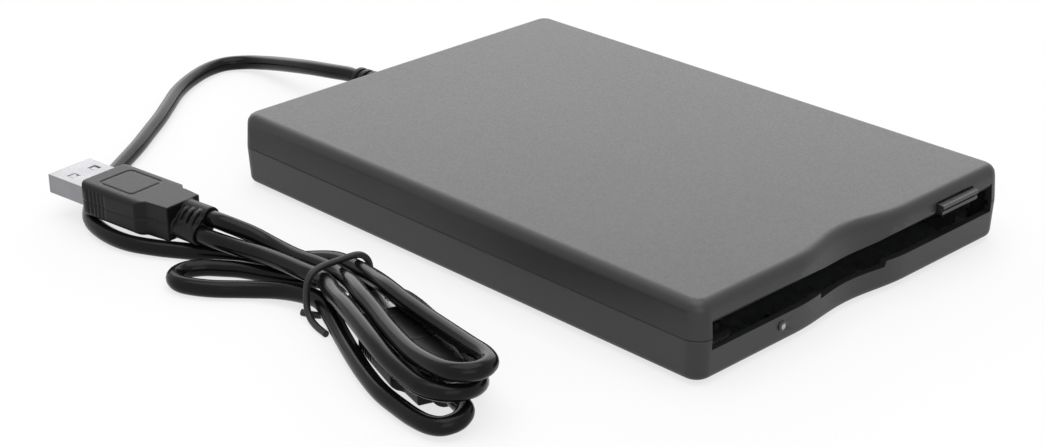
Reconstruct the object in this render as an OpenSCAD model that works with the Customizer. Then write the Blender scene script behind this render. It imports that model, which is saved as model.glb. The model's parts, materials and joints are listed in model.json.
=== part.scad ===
// External floppy disk drive: moulded two-part case, slim drive mechanism, tied cord with two plugs.
// Millimetres. X runs across the front, -Y is the front (slot) side, Z is up from the surface it stands on.

/* [Disk] */
// Width of the disk cartridge that the bay takes
disk_w = 90; // [86:0.5:94]
// Length of the disk cartridge
disk_l = 94; // [90:0.5:98]
// Thickness of the disk cartridge
disk_t = 3.3; // [3:0.1:3.6]
// Distance from the cartridge's leading edge to its hub
disk_hub_lead = 46; // [44:0.5:48]
// Free play between the cartridge and the carrier on each side
disk_side_play = 0.15; // [0.1:0.05:0.3]
// Free height above the cartridge inside the carrier
disk_top_play = 0.9; // [0.8:0.05:1.2]

/* [Case] */
// Wall thickness of both case halves
wall = 1.6; // [1.4:0.1:2]
// Height of the lower half, up to the parting line
split_z = 9; // [8.6:0.1:9.4]
// Full height of the case without feet
case_h = 17; // [16.6:0.1:19]
// Radius of the vertical corners in plan
corner_r = 4; // [3:0.25:6]
// Radius of the top edge
top_fillet = 2.5; // [1.5:0.25:3]
// Radius of the bottom edge
bottom_fillet = 1.5; // [1:0.25:2]
// Draft: how much each side leans in from the parting line to the top or bottom
draft = 0.5; // [0.3:0.05:0.7]
// Gap between the drive and the inside of the case wall at the parting line
case_gap = 1.15; // [1:0.05:1.5]
// Space behind the loaded cartridge for the head drive and the USB board
rear_space = 46.5; // [46:0.5:50]
// Depth of the tongue and rebate along the parting line
tongue_h = 1.2; // [0.8:0.1:1.5]
// Clearance of the tongue in its rebate
tongue_gap = 0.1; // [0.05:0.05:0.2]

/* [Front] */
// How far the loaded cartridge sits behind the front face
bezel_depth = 2.5; // [2:0.25:4]
// Clear width of the disk slot
slot_extra_w = 2; // [1.5:0.25:2.5]
// Width of the finger recess in the front face
recess_w = 36; // [28:1:44]
// Sideways place of the finger recess
recess_x = -1.5; // [-6:0.5:6]
// Depth of the finger recess at the top edge
recess_top = 2.9; // [1.5:0.1:3.2]
// Depth of the finger recess at the bottom edge
recess_bottom = 1.5; // [0.5:0.1:2]
// Width of the notch in the slot's lower lip
notch_w = 21.5; // [16:0.5:30]
// Depth of the notch in the slot's lower lip
notch_d = 1.3; // [0.6:0.1:1.6]
// Height of the rolled-in face above the slot
roll_h = 3.2; // [2:0.1:4]
// How far the rolled-in face runs into the case
roll_in = 4.2; // [3:0.1:5]
// Depth of the cross beam over the slot, behind the front face
beam_d = 6; // [5.5:0.25:7]

/* [Eject] */
// Width of the eject button
button_w = 12.6; // [10:0.2:14]
// Height of the eject button
button_h = 2.3; // [1.8:0.1:2.5]
// Sideways place of the eject button
button_x = 32.3; // [28:0.1:34]
// Gap round the eject button in its window
button_gap = 0.3; // [0.2:0.05:0.5]
// How far the button stands out of the front face at rest
button_proud = 1.3; // [0.8:0.1:2]
// Travel of the slide plate from latched to released
eject_travel = 4.5; // [3.5:0.25:5]
// Extra push past the latch
eject_over = 0.5; // [0.3:0.1:0.6]
// How far the disk carrier sinks when it loads
carrier_drop = 2; // [1.5:0.1:2.2]

/* [Light] */
// Diameter of the activity light's lens
led_d = 2.2; // [1.8:0.1:3]
// Sideways place of the light
led_x = -24.8; // [-34:0.2:-22]
// Height of the light above the underside of the case
led_z = 4.2; // [3.6:0.1:4.4]

/* [Sheet metal] */
// Sheet thickness of the carrier and slide plate
sheet = 0.5; // [0.4:0.05:0.6]
// Sheet thickness of the chassis
chassis_t = 0.6; // [0.5:0.05:0.8]
// Side gap between carrier and slide plate
carrier_gap = 0.2; // [0.15:0.05:0.3]
// Side gap between slide plate and chassis
plate_gap = 0.3; // [0.2:0.05:0.4]
// Diameter of the carrier's four lift pins
lift_pin_d = 2; // [1.8:0.1:2.4]
// Radial play of pins and shafts that run in holes
run_fit = 0.05; // [0.03:0.01:0.08]

/* [Head drive] */
// Travel of the head carriage from the outer to the inner track
head_travel = 14.8; // [14:0.1:15]
// Radius of the outer track
outer_track_r = 39.5; // [39:0.1:40]
// Diameter of the guide rod
rod_d = 2.5; // [2:0.1:3]
// Diameter of the lead screw
screw_d = 3; // [2.5:0.1:3.2]
// Distance of rod and screw from the centre line
rail_x = 14; // [13.5:0.25:15]
// Diameter of the stepper motor
stepper_d = 8.6; // [8:0.1:9]

/* [Spindle] */
// Diameter of the spindle motor's rotor
rotor_d = 36; // [32:0.5:37]
// Diameter of the hub table that carries the disk
hub_d = 22; // [20:0.5:24]
// Diameter of the spindle shaft
shaft_d = 3; // [2.5:0.1:3.4]

/* [Feet] */
// Diameter of the rubber feet
foot_d = 8; // [6:0.5:9]
// How far the feet stand out below the case
foot_proud = 0.8; // [0.6:0.1:1.5]

/* [Gland] */
// Sideways place where the cord leaves the back
gland_x = -2; // [-20:0.5:20]
// Length of the ribbed strain relief outside the case
gland_l = 14; // [10:0.5:18]
// Diameter of the strain relief at the case
gland_d = 7; // [6.5:0.25:8]
// Diameter of the cord
cord_d = 3.8; // [3.4:0.1:3.9]
// Length of the bare plug shell
plug_shell_l = 12; // [11:0.25:12.5]
// Width of the moulded plug grip
plug_grip_w = 15.2; // [14.6:0.2:16]
// Thickness of the moulded plug grip
plug_grip_t = 8; // [7:0.2:8]
// Thickness of the tie wire round the folded cord
tie_d = 1.3; // [1:0.05:1.3]

/* [Hidden] */

$fn = 48;
eps = 0.01;

// Case outline, worked out from the disk and the sheet parts round it
carrier_in = disk_w / 2 + disk_side_play;
carrier_out = carrier_in + sheet;
plate_in = carrier_out + carrier_gap;
plate_out = plate_in + sheet;
chassis_in = plate_out + plate_gap;
chassis_out = chassis_in + chassis_t;
case_w = 2 * (chassis_out + case_gap + wall);
case_l = bezel_depth + disk_l + rear_space;
body_shift = button_proud / 2;
face_y = -case_l / 2;
corner_seg = 6;
recess_seg = 14;
top_z = case_h - wall;

// Heights inside the case
chassis_z = wall + 0.3;
chassis_top = chassis_z + chassis_t;
disk_down_z = chassis_top + 2.3;
disk_up_z = disk_down_z + carrier_drop;
rail_top = disk_up_z - 0.1;
slot_z = disk_up_z - 0.2;
bay_h = disk_t + disk_top_play;
bay_top = rail_top + bay_h;
slot_top = bay_top - 0.1;
carrier_top = bay_top + sheet;
plate_z = carrier_top + 0.4;
plate_top = plate_z + sheet;
cover_z = plate_top + 0.4;
cover_t = 0.4;

// Places along the drive
disk_front = face_y + bezel_depth;
disk_back = disk_front + disk_l;
hub_y = disk_back - disk_hub_lead;
outer_track_y = hub_y + outer_track_r;
beam_back = face_y + beam_d;
plate_front = beam_back + eject_travel + eject_over;
carrier_front = plate_front + 0.5;
carrier_back = disk_back - 0.5;
post_y = carrier_back + 0.4;
post_t = 1.3;
block_front = post_y + post_t + 0.2 + head_travel;
block_l = 8.8;
block_back = block_front + block_l;
motor_y = block_back + 0.9;
chassis_front = beam_back + 0.3;
chassis_back = motor_y + 5.6;
slot_w = disk_w + slot_extra_w;
lift_pins_y = [carrier_front + 10, carrier_back - 6.5];
lift_pin_z = disk_up_z + 2;
rail_in = carrier_in - 7.15;

// ---- Small shape helpers ----

module box(x, y, z) {
    translate([x[0], y[0], z[0]])
        cube([x[1] - x[0], y[1] - y[0], z[1] - z[0]]);
}

module rod_x(r, x, y, z) {
    translate([x[0], y, z])
        rotate([0, 90, 0])
            cylinder(r = r, h = x[1] - x[0]);
}

module rod_y(r, x, y, z) {
    translate([x, y[0], z])
        rotate([-90, 0, 0])
            cylinder(r = r, h = y[1] - y[0]);
}

module rod_z(r, x, y, z) {
    translate([x, y, z[0]])
        cylinder(r = r, h = z[1] - z[0]);
}

module both_sides() {
    children();
    mirror([1, 0, 0])
        children();
}

// Everything but the cord lies in the case's own frame, lifted onto its feet
module placed() {
    translate([0, body_shift, foot_proud])
        children();
}

// Closed solid through rings of equal point count, lowest ring first, each anticlockwise from above
module skin(rings) {
    n = len(rings[0]);
    count = len(rings);
    points = [for (ring = rings, p = ring) p];
    sides = [for (i = [0 : count - 2], j = [0 : n - 1])
        let (k = (j + 1) % n, a = i * n + j, b = i * n + k, c = a + n, d = b + n)
            each [[a, c, b], [b, c, d]]];
    // Both caps fan out from the last point, at the back, which sees every point of a recessed front
    floor_face = [for (j = [0 : n - 1]) (j + n - 1) % n];
    roof_face = [for (j = [n - 1 : -1 : 0]) (count - 1) * n + j];
    polyhedron(points, concat(sides, [floor_face, roof_face]), convexity = 6);
}

// ---- Case ----

function recess_wave(x) = abs(x - recess_x) < recess_w / 2
    ? (1 + cos(360 * (x - recess_x) / recess_w)) / 2 : 0;
function recess_depth(z) = recess_bottom + (recess_top - recess_bottom) * z / case_h;
function arc_points(cx, cy, r, start) = [for (k = [0 : corner_seg])
    [cx + r * cos(start + 90 * k / corner_seg), cy + r * sin(start + 90 * k / corner_seg)]];

// Outline of the case at one height, drawn in by an inset
function case_plan(z, inset) =
    let (hw = case_w / 2 - inset, hl = case_l / 2 - inset, r = max(corner_r - inset, 0.8))
    let (plan = concat(arc_points(-hw + r, -hl + r, r, 180),
        [for (k = [0 : recess_seg])
            let (x = recess_x + recess_w * (k / recess_seg - 0.5))
                [x, -hl + recess_depth(z) * recess_wave(x)]],
        arc_points(hw - r, -hl + r, r, 270),
        arc_points(hw - r, hl - r, r, 0),
        arc_points(-hw + r, hl - r, r, 90)))
    [for (p = plan) [p[0], p[1], z]];

function lean(z) = z > split_z ? draft * (z - split_z) / (case_h - split_z)
    : draft * (split_z - z) / split_z;

seam = 0.2;
fillet_steps = 4;

// Cover rings run upwards from the parting line
cover_shoulder = case_h - top_fillet;
cover_rings = concat(
    [case_plan(split_z, seam), case_plan(split_z + seam, 0)],
    [for (k = [0 : fillet_steps])
        let (a = 90 * k / fillet_steps)
            case_plan(cover_shoulder + top_fillet * sin(a),
                lean(cover_shoulder) + top_fillet * (1 - cos(a)))]);
cover_hollow = [case_plan(split_z - eps, wall), case_plan(top_z - 1, wall + lean(top_z)),
    case_plan(top_z, wall + lean(top_z) + 1)];

// Shell rings run upwards from the underside
shell_rings = concat(
    [for (k = [fillet_steps : -1 : 0])
        let (a = 90 * k / fillet_steps)
            case_plan(bottom_fillet * (1 - sin(a)),
                lean(bottom_fillet) + bottom_fillet * (1 - cos(a)))],
    [case_plan(split_z - seam, 0), case_plan(split_z, seam)]);
shell_hollow = [case_plan(wall, wall + lean(wall) + 0.5), case_plan(wall + 0.5, wall + lean(wall)),
    case_plan(split_z + eps, wall)];

rebate_in = wall / 2;
slot_half = slot_w / 2;
notch_x = [recess_x - notch_w / 2 + 0.5, recess_x + notch_w / 2 + 0.5];
screw_x = chassis_out - 6.25;
screw_at = [for (x = [-screw_x, screw_x]) [x, chassis_back + 6.3]];
chassis_screw_x = chassis_in - 16.65;
chassis_screw_at = [for (x = [-chassis_screw_x, chassis_screw_x], y = [disk_front + 17, block_front + 2]) [x, y]];
foot_inset = [14, 15.5];
foot_at = [for (x = [-1, 1], y = [-1, 1]) [x * (case_w / 2 - foot_inset[0]), y * (case_l / 2 - foot_inset[1])]];
button_z = plate_top + 1.2;
window_x = [button_x - button_w / 2 - button_gap, button_x + button_w / 2 + button_gap];
window_z = [button_z - button_h / 2 - button_gap, button_z + button_h / 2 + button_gap];
boss_r = 3.2;
case_screw_d = 2.5;
case_screw_l = 10;

// The face above the slot rolls under in a quarter ellipse
module roll_cut() {
    low = slot_z - 1;
    shoulder = slot_top + roll_h;
    inner = face_y + roll_in;
    translate([-slot_half, 0, 0])
        rotate([90, 0, 90])
            linear_extrude(slot_w)
                polygon(concat(
                    [[face_y - 5, low], [face_y - 5, shoulder]],
                    [for (k = [0 : 6])
                        let (a = 15 * k)
                            [inner - (roll_in - 0.15) * cos(a), shoulder - roll_h * sin(a)]],
                    [[inner, low]]));
}

module top_cover() {
    color([0.10, 0.10, 0.105])
        placed()
            difference() {
                union() {
                    difference() {
                        skin(cover_rings);
                        skin(cover_hollow);
                    }
                    // Cross beam that closes the case above the slot
                    box([-slot_half - 1, slot_half + 1], [face_y + recess_top + 0.9, beam_back], [slot_top, top_z + 0.4]);
                    box([-slot_half - 1, recess_x - 12], [face_y + 1.6, beam_back], [slot_top, top_z + 0.4]);
                    box([recess_x + 12, slot_half + 1], [face_y + 1.6, beam_back], [slot_top, top_z + 0.4]);
                    // Tongue that drops inside the lower half
                    difference() {
                        skin([case_plan(split_z - tongue_h, rebate_in + tongue_gap),
                            case_plan(split_z + seam, rebate_in + tongue_gap)]);
                        skin([case_plan(split_z - tongue_h - eps, wall), case_plan(split_z + 2 * seam, wall)]);
                        box([-slot_half - 1, slot_half + 1], [face_y - 1, face_y + 10], [0, split_z + 2 * seam]);
                        box([gland_x - 5, gland_x + 5], [0, case_l], [0, split_z]);
                    }
                    // Ribs under the roof and screw posts at the back
                    for (x = [-30 : 15 : 30])
                        box([x - 0.5, x + 0.5], [plate_front + 6, case_l / 2 - 8], [cover_z + cover_t + 0.2, top_z + 0.2]);
                    for (p = screw_at)
                        rod_z(boss_r, p[0], p[1], [split_z, top_z + 0.2]);
                }
                roll_cut();
                box([-slot_half, slot_half], [face_y - 1, beam_back + 1], [slot_z - 1, slot_top]);
                box(window_x, [face_y - 1, beam_back + 1], window_z);
                for (p = screw_at)
                    rod_z(case_screw_d / 2 + run_fit, p[0], p[1], [split_z - 1, split_z + 4.2]);
                rod_y(gland_neck_d / 2, gland_x, [0, case_l], split_z);
            }
}

module bottom_shell() {
    color([0.09, 0.09, 0.095])
        placed()
            difference() {
                union() {
                    difference() {
                        skin(shell_rings);
                        skin(shell_hollow);
                        // Rebate that takes the cover's tongue
                        skin([case_plan(split_z - tongue_h - tongue_gap, rebate_in),
                            case_plan(split_z + 1, rebate_in)]);
                    }
                    for (p = screw_at)
                        rod_z(boss_r, p[0], p[1], [wall / 2, split_z]);
                    for (p = chassis_screw_at)
                        rod_z(boss_r, p[0], p[1], [wall / 2, chassis_z]);
                    for (x = board_x)
                        rod_z(1.6, x, board_post_y, [wall / 2, board_z]);
                }
                // Slot with its finger notch
                box([-slot_half, slot_half], [face_y - 1, face_y + 6], [slot_z, split_z + 1]);
                translate([0, face_y + 6, 0])
                    rotate([90, 0, 0])
                        linear_extrude(8)
                            polygon([[notch_x[0] - 0.1, slot_z + 1], [notch_x[0] + 0.1, slot_z - notch_d],
                                [notch_x[1] - 0.4, slot_z - notch_d], [notch_x[1] + 0.4, slot_z + 1]]);
                for (p = screw_at) {
                    rod_z(case_screw_d / 2 + 0.2, p[0], p[1], [-1, split_z + 1]);
                    rod_z(2.5, p[0], p[1], [-1, 3]);
                }
                for (p = chassis_screw_at) {
                    rod_z(1.2, p[0], p[1], [-1, chassis_z + 1]);
                    rod_z(2.3, p[0], p[1], [-1, 0.9]);
                }
                for (p = foot_at)
                    rod_z(foot_d / 2 + 0.2, p[0], p[1], [-1, foot_seat]);
                rod_y(led_d / 2, led_x, [face_y - 1, face_y + 4], led_z);
                rod_y(gland_neck_d / 2, gland_x, [case_l / 2 - 5, case_l / 2 + 5], split_z);
            }
}

foot_seat = 0.6;
module rubber_feet() {
    color([0.16, 0.16, 0.17])
        placed()
            for (p = foot_at) {
                rod_z(foot_d / 2, p[0], p[1], [-foot_proud + 0.3, foot_seat]);
                translate([p[0], p[1], -foot_proud])
                    cylinder(r1 = foot_d / 2 - 0.3, r2 = foot_d / 2, h = 0.3);
            }
}

module case_screws() {
    color([0.62, 0.63, 0.65])
        placed()
            for (p = screw_at)
                difference() {
                    union() {
                        rod_z(2.3, p[0], p[1], [1.4, 3]);
                        rod_z(case_screw_d / 2, p[0], p[1], [2.8, 3 + case_screw_l]);
                    }
                    box([p[0] - 1.5, p[0] + 1.5], [p[1] - 0.25, p[1] + 0.25], [1.3, 2.1]);
                    box([p[0] - 0.25, p[0] + 0.25], [p[1] - 1.5, p[1] + 1.5], [1.3, 2.1]);
                }
}

module led_lens() {
    color([0.85, 0.88, 0.9])
        placed() {
            rod_y(led_d / 2, led_x, [face_y + 0.1, face_y + 4.4], led_z);
            translate([led_x, face_y + 0.1, led_z])
                rotate([90, 0, 0])
                    scale([1, 1, 0.35])
                        intersection() {
                            sphere(r = led_d / 2);
                            translate([0, 0, led_d])
                                cube(2 * led_d, center = true);
                        }
        }
}

gland_neck_d = gland_d - 2;
gland_tail = 4;
gland_out_y = case_l / 2 + gland_l;
gland_end_d = cord_d + 2;
gland_ribs = 5;
module cable_gland() {
    pitch = (gland_l - 2) / gland_ribs;
    color([0.06, 0.06, 0.065])
        placed()
            difference() {
                union() {
                    rod_y(gland_neck_d / 2, gland_x, [case_l / 2 - wall - 0.6, case_l / 2 + 1], split_z);
                    rod_y(gland_d / 2, gland_x, [case_l / 2 - wall - 1.9, case_l / 2 - wall - 0.3], split_z);
                    rod_y(gland_d / 2, gland_x, [case_l / 2 + 0.05, case_l / 2 + 2], split_z);
                    rod_y(cord_d / 2 + 0.7, gland_x, [case_l / 2, gland_out_y], split_z);
                    for (k = [0 : gland_ribs - 1])
                        rod_y(gland_d / 2 - 0.1 - k * (gland_d - gland_end_d) / 2 / gland_ribs, gland_x,
                            [case_l / 2 + 2.8 + k * pitch, case_l / 2 + 2.8 + (k + 0.55) * pitch], split_z);
                }
                rod_y(cord_d / 2, gland_x, [gland_out_y - 2, gland_out_y + 1], split_z);
                rod_y(cord_d / 2, gland_x, [0, case_l / 2 - wall - 1], split_z);
            }
}

// ---- Drive frame ----

stator_r = rotor_d / 2 + 6;
hole_x = stator_r + 10;
module drive_chassis() {
    color([0.72, 0.73, 0.74])
        placed()
            difference() {
                union() {
                    box([-chassis_out, chassis_out], [chassis_front, chassis_back], [chassis_z, chassis_top]);
                    both_sides()
                        box([chassis_in, chassis_out], [chassis_front, chassis_back], [chassis_z, cover_z]);
                    box([-chassis_out, chassis_out], [chassis_back - chassis_t, chassis_back], [chassis_z, cover_z - 2]);
                    for (p = chassis_screw_at)
                        rod_z(2, p[0], p[1], [chassis_z, chassis_top + 1]);
                    both_sides()
                        box([spring_x - 2.4, chassis_in + 0.1], [spring_back, spring_back + chassis_t],
                            [chassis_z, spring_z + 2.4]);
                    both_sides()
                        rod_y(spring_d / 2 - 0.6, spring_x, [spring_back - 6, spring_back + 0.1], spring_z);
                }
                for (y = lift_pins_y)
                    box([-case_w, case_w], [y - lift_pin_d / 2 - run_fit, y + lift_pin_d / 2 + run_fit],
                        [lift_pin_z - carrier_drop - lift_pin_d / 2 - 0.3, cover_z + 1]);
                rod_z(bearing_d / 2 + run_fit, 0, hub_y, [chassis_z - 1, chassis_top + 1]);
                for (p = chassis_screw_at)
                    rod_z(1 + run_fit, p[0], p[1], [chassis_z - 1, chassis_top + 2]);
                // Lightening holes and the motor's window in the back wall
                for (x = [-hole_x, hole_x], y = [hub_y - 12, hub_y + 12])
                    rod_z(5, x, y, [chassis_z - 1, chassis_top + 1]);
                box([-5, 5], [block_front - 12, block_back - 2], [chassis_z - 1, chassis_top + 1]);
                rod_y(stepper_d / 2 + 0.3, -rail_x, [motor_y, chassis_back + 1], axis_z);
                box([ribbon_x[0] - 1.5, ribbon_x[1] + 1.5], [chassis_back - 1, chassis_back + 1],
                    [chassis_top + 0.9, chassis_top + 3]);
            }
}

module drive_cover() {
    color([0.70, 0.71, 0.72])
        placed()
            difference() {
                union() {
                    box([-chassis_out, chassis_out], [plate_front + 6, chassis_back], [cover_z, cover_z + cover_t]);
                    box([-chassis_out + 3, chassis_out - 3], [chassis_back, chassis_back + cover_t],
                        [cover_z - 5, cover_z + cover_t]);
                }
                rod_z(9, 0, hub_y, [cover_z - 1, cover_z + 1]);
                for (x = [-stator_r, stator_r])
                    box([x - 5, x + 5], [hub_y - 20, hub_y + 12], [cover_z - 1, cover_z + 1]);
                rod_y(stepper_d / 2 + 0.3, -rail_x, [motor_y, chassis_back + 1], axis_z);
            }
}

module chassis_screws() {
    color([0.62, 0.63, 0.65])
        placed()
            for (p = chassis_screw_at) {
                rod_z(1.9, p[0], p[1], [0.1, 0.9]);
                rod_z(1, p[0], p[1], [0.8, chassis_top + 1.4]);
            }
}

// ---- Spindle motor ----

board_t = 0.4;
bearing_d = 6;
stator_top = chassis_top + board_t;
rotor_z = stator_top + 0.8;
hub_z = disk_down_z - 0.2;
module stator_board() {
    color([0.12, 0.35, 0.22])
        placed()
            difference() {
                union() {
                    box([-stator_r, stator_r], [hub_y - stator_r + 2, hub_y + rotor_d / 2 + 1], [chassis_top, stator_top]);
                    box([stator_r - 10, stator_r - 2], [hub_y - stator_r + 3, hub_y - stator_r + 6],
                        [stator_top - 0.1, stator_top + 1.2]);
                }
                rod_z(bearing_d / 2 + run_fit, 0, hub_y, [chassis_z, stator_top + 1]);
            }
}

coil_count = 9;
module stator_coils() {
    color([0.72, 0.42, 0.20])
        placed()
            for (k = [0 : coil_count - 1])
                translate([0, hub_y, stator_top])
                    rotate(360 * k / coil_count)
                        translate([11, 0, 0])
                            difference() {
                                linear_extrude(0.5)
                                    polygon([[-4.6, -1.6], [4.6, -3.4], [4.6, 3.4], [-4.6, 1.6]]);
                                translate([0, 0, -1])
                                    linear_extrude(3)
                                        polygon([[-2.8, -0.5], [2.8, -1.4], [2.8, 1.4], [-2.8, 0.5]]);
                            }
}

module spindle_bearing() {
    color([0.75, 0.60, 0.30])
        placed()
            difference() {
                union() {
                    rod_z(bearing_d / 2, 0, hub_y, [chassis_z, stator_top + 0.4]);
                    rod_z(bearing_d / 2 + 0.8, 0, hub_y, [stator_top, stator_top + 0.4]);
                }
                rod_z(shaft_d / 2 + run_fit, 0, hub_y, [chassis_z + 0.3, stator_top + 1]);
            }
}

module spindle_rotor() {
    color([0.55, 0.56, 0.58])
        placed() {
            difference() {
                rod_z(rotor_d / 2, 0, hub_y, [stator_top + 0.2, hub_z - 0.5]);
                rod_z(rotor_d / 2 - 1.6, 0, hub_y, [stator_top, rotor_z]);
                for (k = [0 : 5])
                    translate([0, hub_y, 0])
                        rotate(60 * k)
                            rod_z(1.6, rotor_d / 2 - 4.5, 0, [rotor_z - 1, hub_z]);
            }
            rod_z(shaft_d / 2, 0, hub_y, [chassis_z + 0.35, hub_z - 0.6]);
        }
}

module hub_table() {
    color([0.82, 0.82, 0.80])
        placed()
            difference() {
                union() {
                    rod_z(hub_d / 2, 0, hub_y, [hub_z - 0.5, hub_z + 0.4]);
                    rod_z(1.9, 0, hub_y, [hub_z, hub_z + 1.6]);
                }
                // Curved window that the drive pin rides in
                translate([0, hub_y, hub_z - 1])
                    rotate([0, 0, -30])
                        rotate_extrude(angle = 60)
                            translate([hub_d / 2 - 3.2, 0])
                                square([2.4, 3]);
            }
}

module drive_pin() {
    color([0.50, 0.50, 0.52])
        placed() {
            rod_z(0.9, hub_d / 2 - 2, hub_y, [hub_z - 0.5, hub_z + 1.2]);
        }
}

// ---- Head carriage and its drive ----

axis_z = 7;
head_y = outer_track_y;
sled_z = chassis_top + 0.5;
sled_top = sled_z + 1.4;
arm_axis_z = carrier_top - 0.4;
arm_axis_y = block_back - 3;
arm_z = [carrier_top - 0.5, carrier_top + 0.3];
ear_in = 4.4;

module guide_rod() {
    color([0.80, 0.81, 0.83])
        placed()
            rod_y(rod_d / 2, rail_x, [post_y, chassis_back - chassis_t - 0.6], axis_z);
}

module rail_bracket() {
    color([0.20, 0.20, 0.21])
        placed()
            difference() {
                union() {
                    box([rail_x - 2.5, rail_x + 2.5], [post_y, post_y + post_t], [chassis_top, axis_z + 2.4]);
                    box([-rail_x - 2.5, -rail_x + 2.5], [post_y, post_y + post_t], [chassis_top, axis_z + 2.4]);
                    box([-rail_x - 2.5, rail_x + 2.5], [post_y, post_y + post_t], [chassis_top, sled_z - 0.15]);
                    box([rail_x - 2.5, rail_x + 2.5], [chassis_back - 2.6, chassis_back - chassis_t],
                        [chassis_top, axis_z + 2.4]);
                    box([-rail_x - 5, -rail_x + 5], [motor_y - 0.6, motor_y], [chassis_top, axis_z + 3]);
                }
                rod_y(rod_d / 2, rail_x, [post_y - 1, post_y + post_t + 1], axis_z);
                rod_y(rod_d / 2, rail_x, [chassis_back - 4, chassis_back - chassis_t - 0.6], axis_z);
                rod_y(screw_end_r + run_fit, -rail_x, [post_y - 1, post_y + post_t + 1], axis_z);
                rod_y(screw_d / 2 + 0.3, -rail_x, [motor_y - 1, motor_y + 1], axis_z);
            }
}

screw_end_r = 0.75;
module lead_screw() {
    color([0.78, 0.78, 0.80])
        placed() {
            rod_y(screw_d / 2, -rail_x, [post_y + post_t + 0.1, motor_y - 0.1], axis_z);
            rod_y(screw_end_r, -rail_x, [post_y, motor_y + 2.5], axis_z);
        }
}

module stepper_motor() {
    color([0.66, 0.67, 0.69])
        placed()
            difference() {
                union() {
                    rod_y(stepper_d / 2, -rail_x, [motor_y, motor_y + 10], axis_z);
                    rod_y(stepper_d / 2 - 2, -rail_x, [motor_y + 10, motor_y + 10.6], axis_z);
                }
                rod_y(screw_end_r + run_fit, -rail_x, [motor_y - 1, motor_y + 3], axis_z);
            }
}

module head_carriage() {
    color([0.86, 0.85, 0.80])
        placed()
            difference() {
                union() {
                    box([-10, rail_x + 1], [block_front, block_back], [sled_z, axis_z + 2.4]);
                    rod_y(rod_d / 2 + 1.3, rail_x, [block_front, block_back], axis_z);
                    box([-7, 7], [head_y - 3.2, block_front + 1], [sled_z, sled_top]);
                    box([-9, 9], [block_front - 6, block_front + 1], [sled_z, sled_top]);
                    both_sides()
                        box([ear_in, ear_in + 1.4], [arm_axis_y - 1.6, arm_axis_y + 1.6],
                            [axis_z + 2, arm_axis_z + 1.3]);
                    // Follower that rides in the screw's thread
                    box([-rail_x + screw_d / 2 + 2 * run_fit, -9], [block_front + 3, block_front + 5],
                        [axis_z - 0.6, axis_z + 0.6]);
                }
                rod_y(rod_d / 2 + run_fit, rail_x, [block_front - 1, block_back + 1], axis_z);
                box([rail_x - 6, rail_x - 3], [block_front - 1, block_back - 2], [axis_z - 1, axis_z + 5]);
                rod_x(arm_pin_r, [-9, 9], arm_axis_y, arm_axis_z);
            }
}

arm_pin_r = 0.8;
module arm_pin() {
    color([0.78, 0.78, 0.80])
        placed()
            rod_x(arm_pin_r, [-ear_in - 1.4, ear_in + 1.4], arm_axis_y, arm_axis_z);
}

module lower_head() {
    color([0.35, 0.34, 0.33])
        placed() {
            box([-3, 3], [head_y - 2.6, head_y + 2.6], [sled_top, sled_top + 0.8]);
            box([-1.5, 1.5], [head_y - 1.6, head_y + 1.6], [sled_top + 0.7, disk_up_z - 0.4]);
        }
}

module upper_head_arm() {
    color([0.74, 0.75, 0.76])
        placed()
            difference() {
                union() {
                    linear_z(arm_z)
                        polygon([[-4, arm_axis_y], [-3.2, head_y - 3.5], [3.2, head_y - 3.5], [4, arm_axis_y]]);
                    rod_x(1.3, [-ear_in + 0.2, ear_in - 0.2], arm_axis_y, arm_axis_z);
                }
                rod_x(arm_pin_r + run_fit, [-9, 9], arm_axis_y, arm_axis_z);
                linear_z([arm_z[0] - 1, arm_z[1] + 1])
                    polygon([[-2, arm_axis_y - 6], [-1.4, head_y + 6], [1.4, head_y + 6], [2, arm_axis_y - 6]]);
            }
}

module linear_z(z) {
    translate([0, 0, z[0]])
        linear_extrude(z[1] - z[0])
            children();
}

module upper_head() {
    color([0.35, 0.34, 0.33])
        placed()
            box([-1.5, 1.5], [head_y - 1.6, head_y + 1.6], [arm_z[0] - 0.5, arm_z[0]]);
}

module track_sensor() {
    color([0.14, 0.14, 0.15])
        placed()
            difference() {
                box([sensor_x - 2.5, sensor_x + 2.5], [block_back - 5, block_back], [drive_board_top, axis_z + 2.2]);
                box([sensor_x - 0.7, sensor_x + 0.7], [block_back - 6, block_back + 1], [axis_z - 1, axis_z + 3]);
            }
}

// ---- Boards and switches ----

drive_board_z = chassis_top;
drive_board_top = drive_board_z + 0.8;
drive_board_x = [rail_x + 4.5, chassis_in - 7.8];
sensor_x = rail_x + 9;
module drive_board() {
    color([0.10, 0.32, 0.20])
        placed()
            difference() {
                union() {
                    box(drive_board_x, [carrier_back + 3, chassis_back - 1.2],
                        [drive_board_z, drive_board_top]);
                    box([drive_board_x[1] - 11.35, drive_board_x[1] - 3.35], [carrier_back + 6, carrier_back + 14],
                        [drive_board_top - 0.1, drive_board_top + 1.2]);
                    box([drive_board_x[0] + 1, drive_board_x[0] + 4], [carrier_back + 9, carrier_back + 12],
                        [drive_board_top - 0.1, drive_board_top + 0.8]);
                    box([ribbon_x[0] - 0.5, ribbon_x[1] + 0.5], [chassis_back - 4.8, chassis_back - 1.2],
                        [drive_board_top - 0.1, drive_board_top + 1.6]);
                }
                // Clears the collar round the chassis screw
                rod_z(2.6, chassis_screw_at[3][0], chassis_screw_at[3][1], [chassis_z, drive_board_top + 1]);
            }
}

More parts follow.
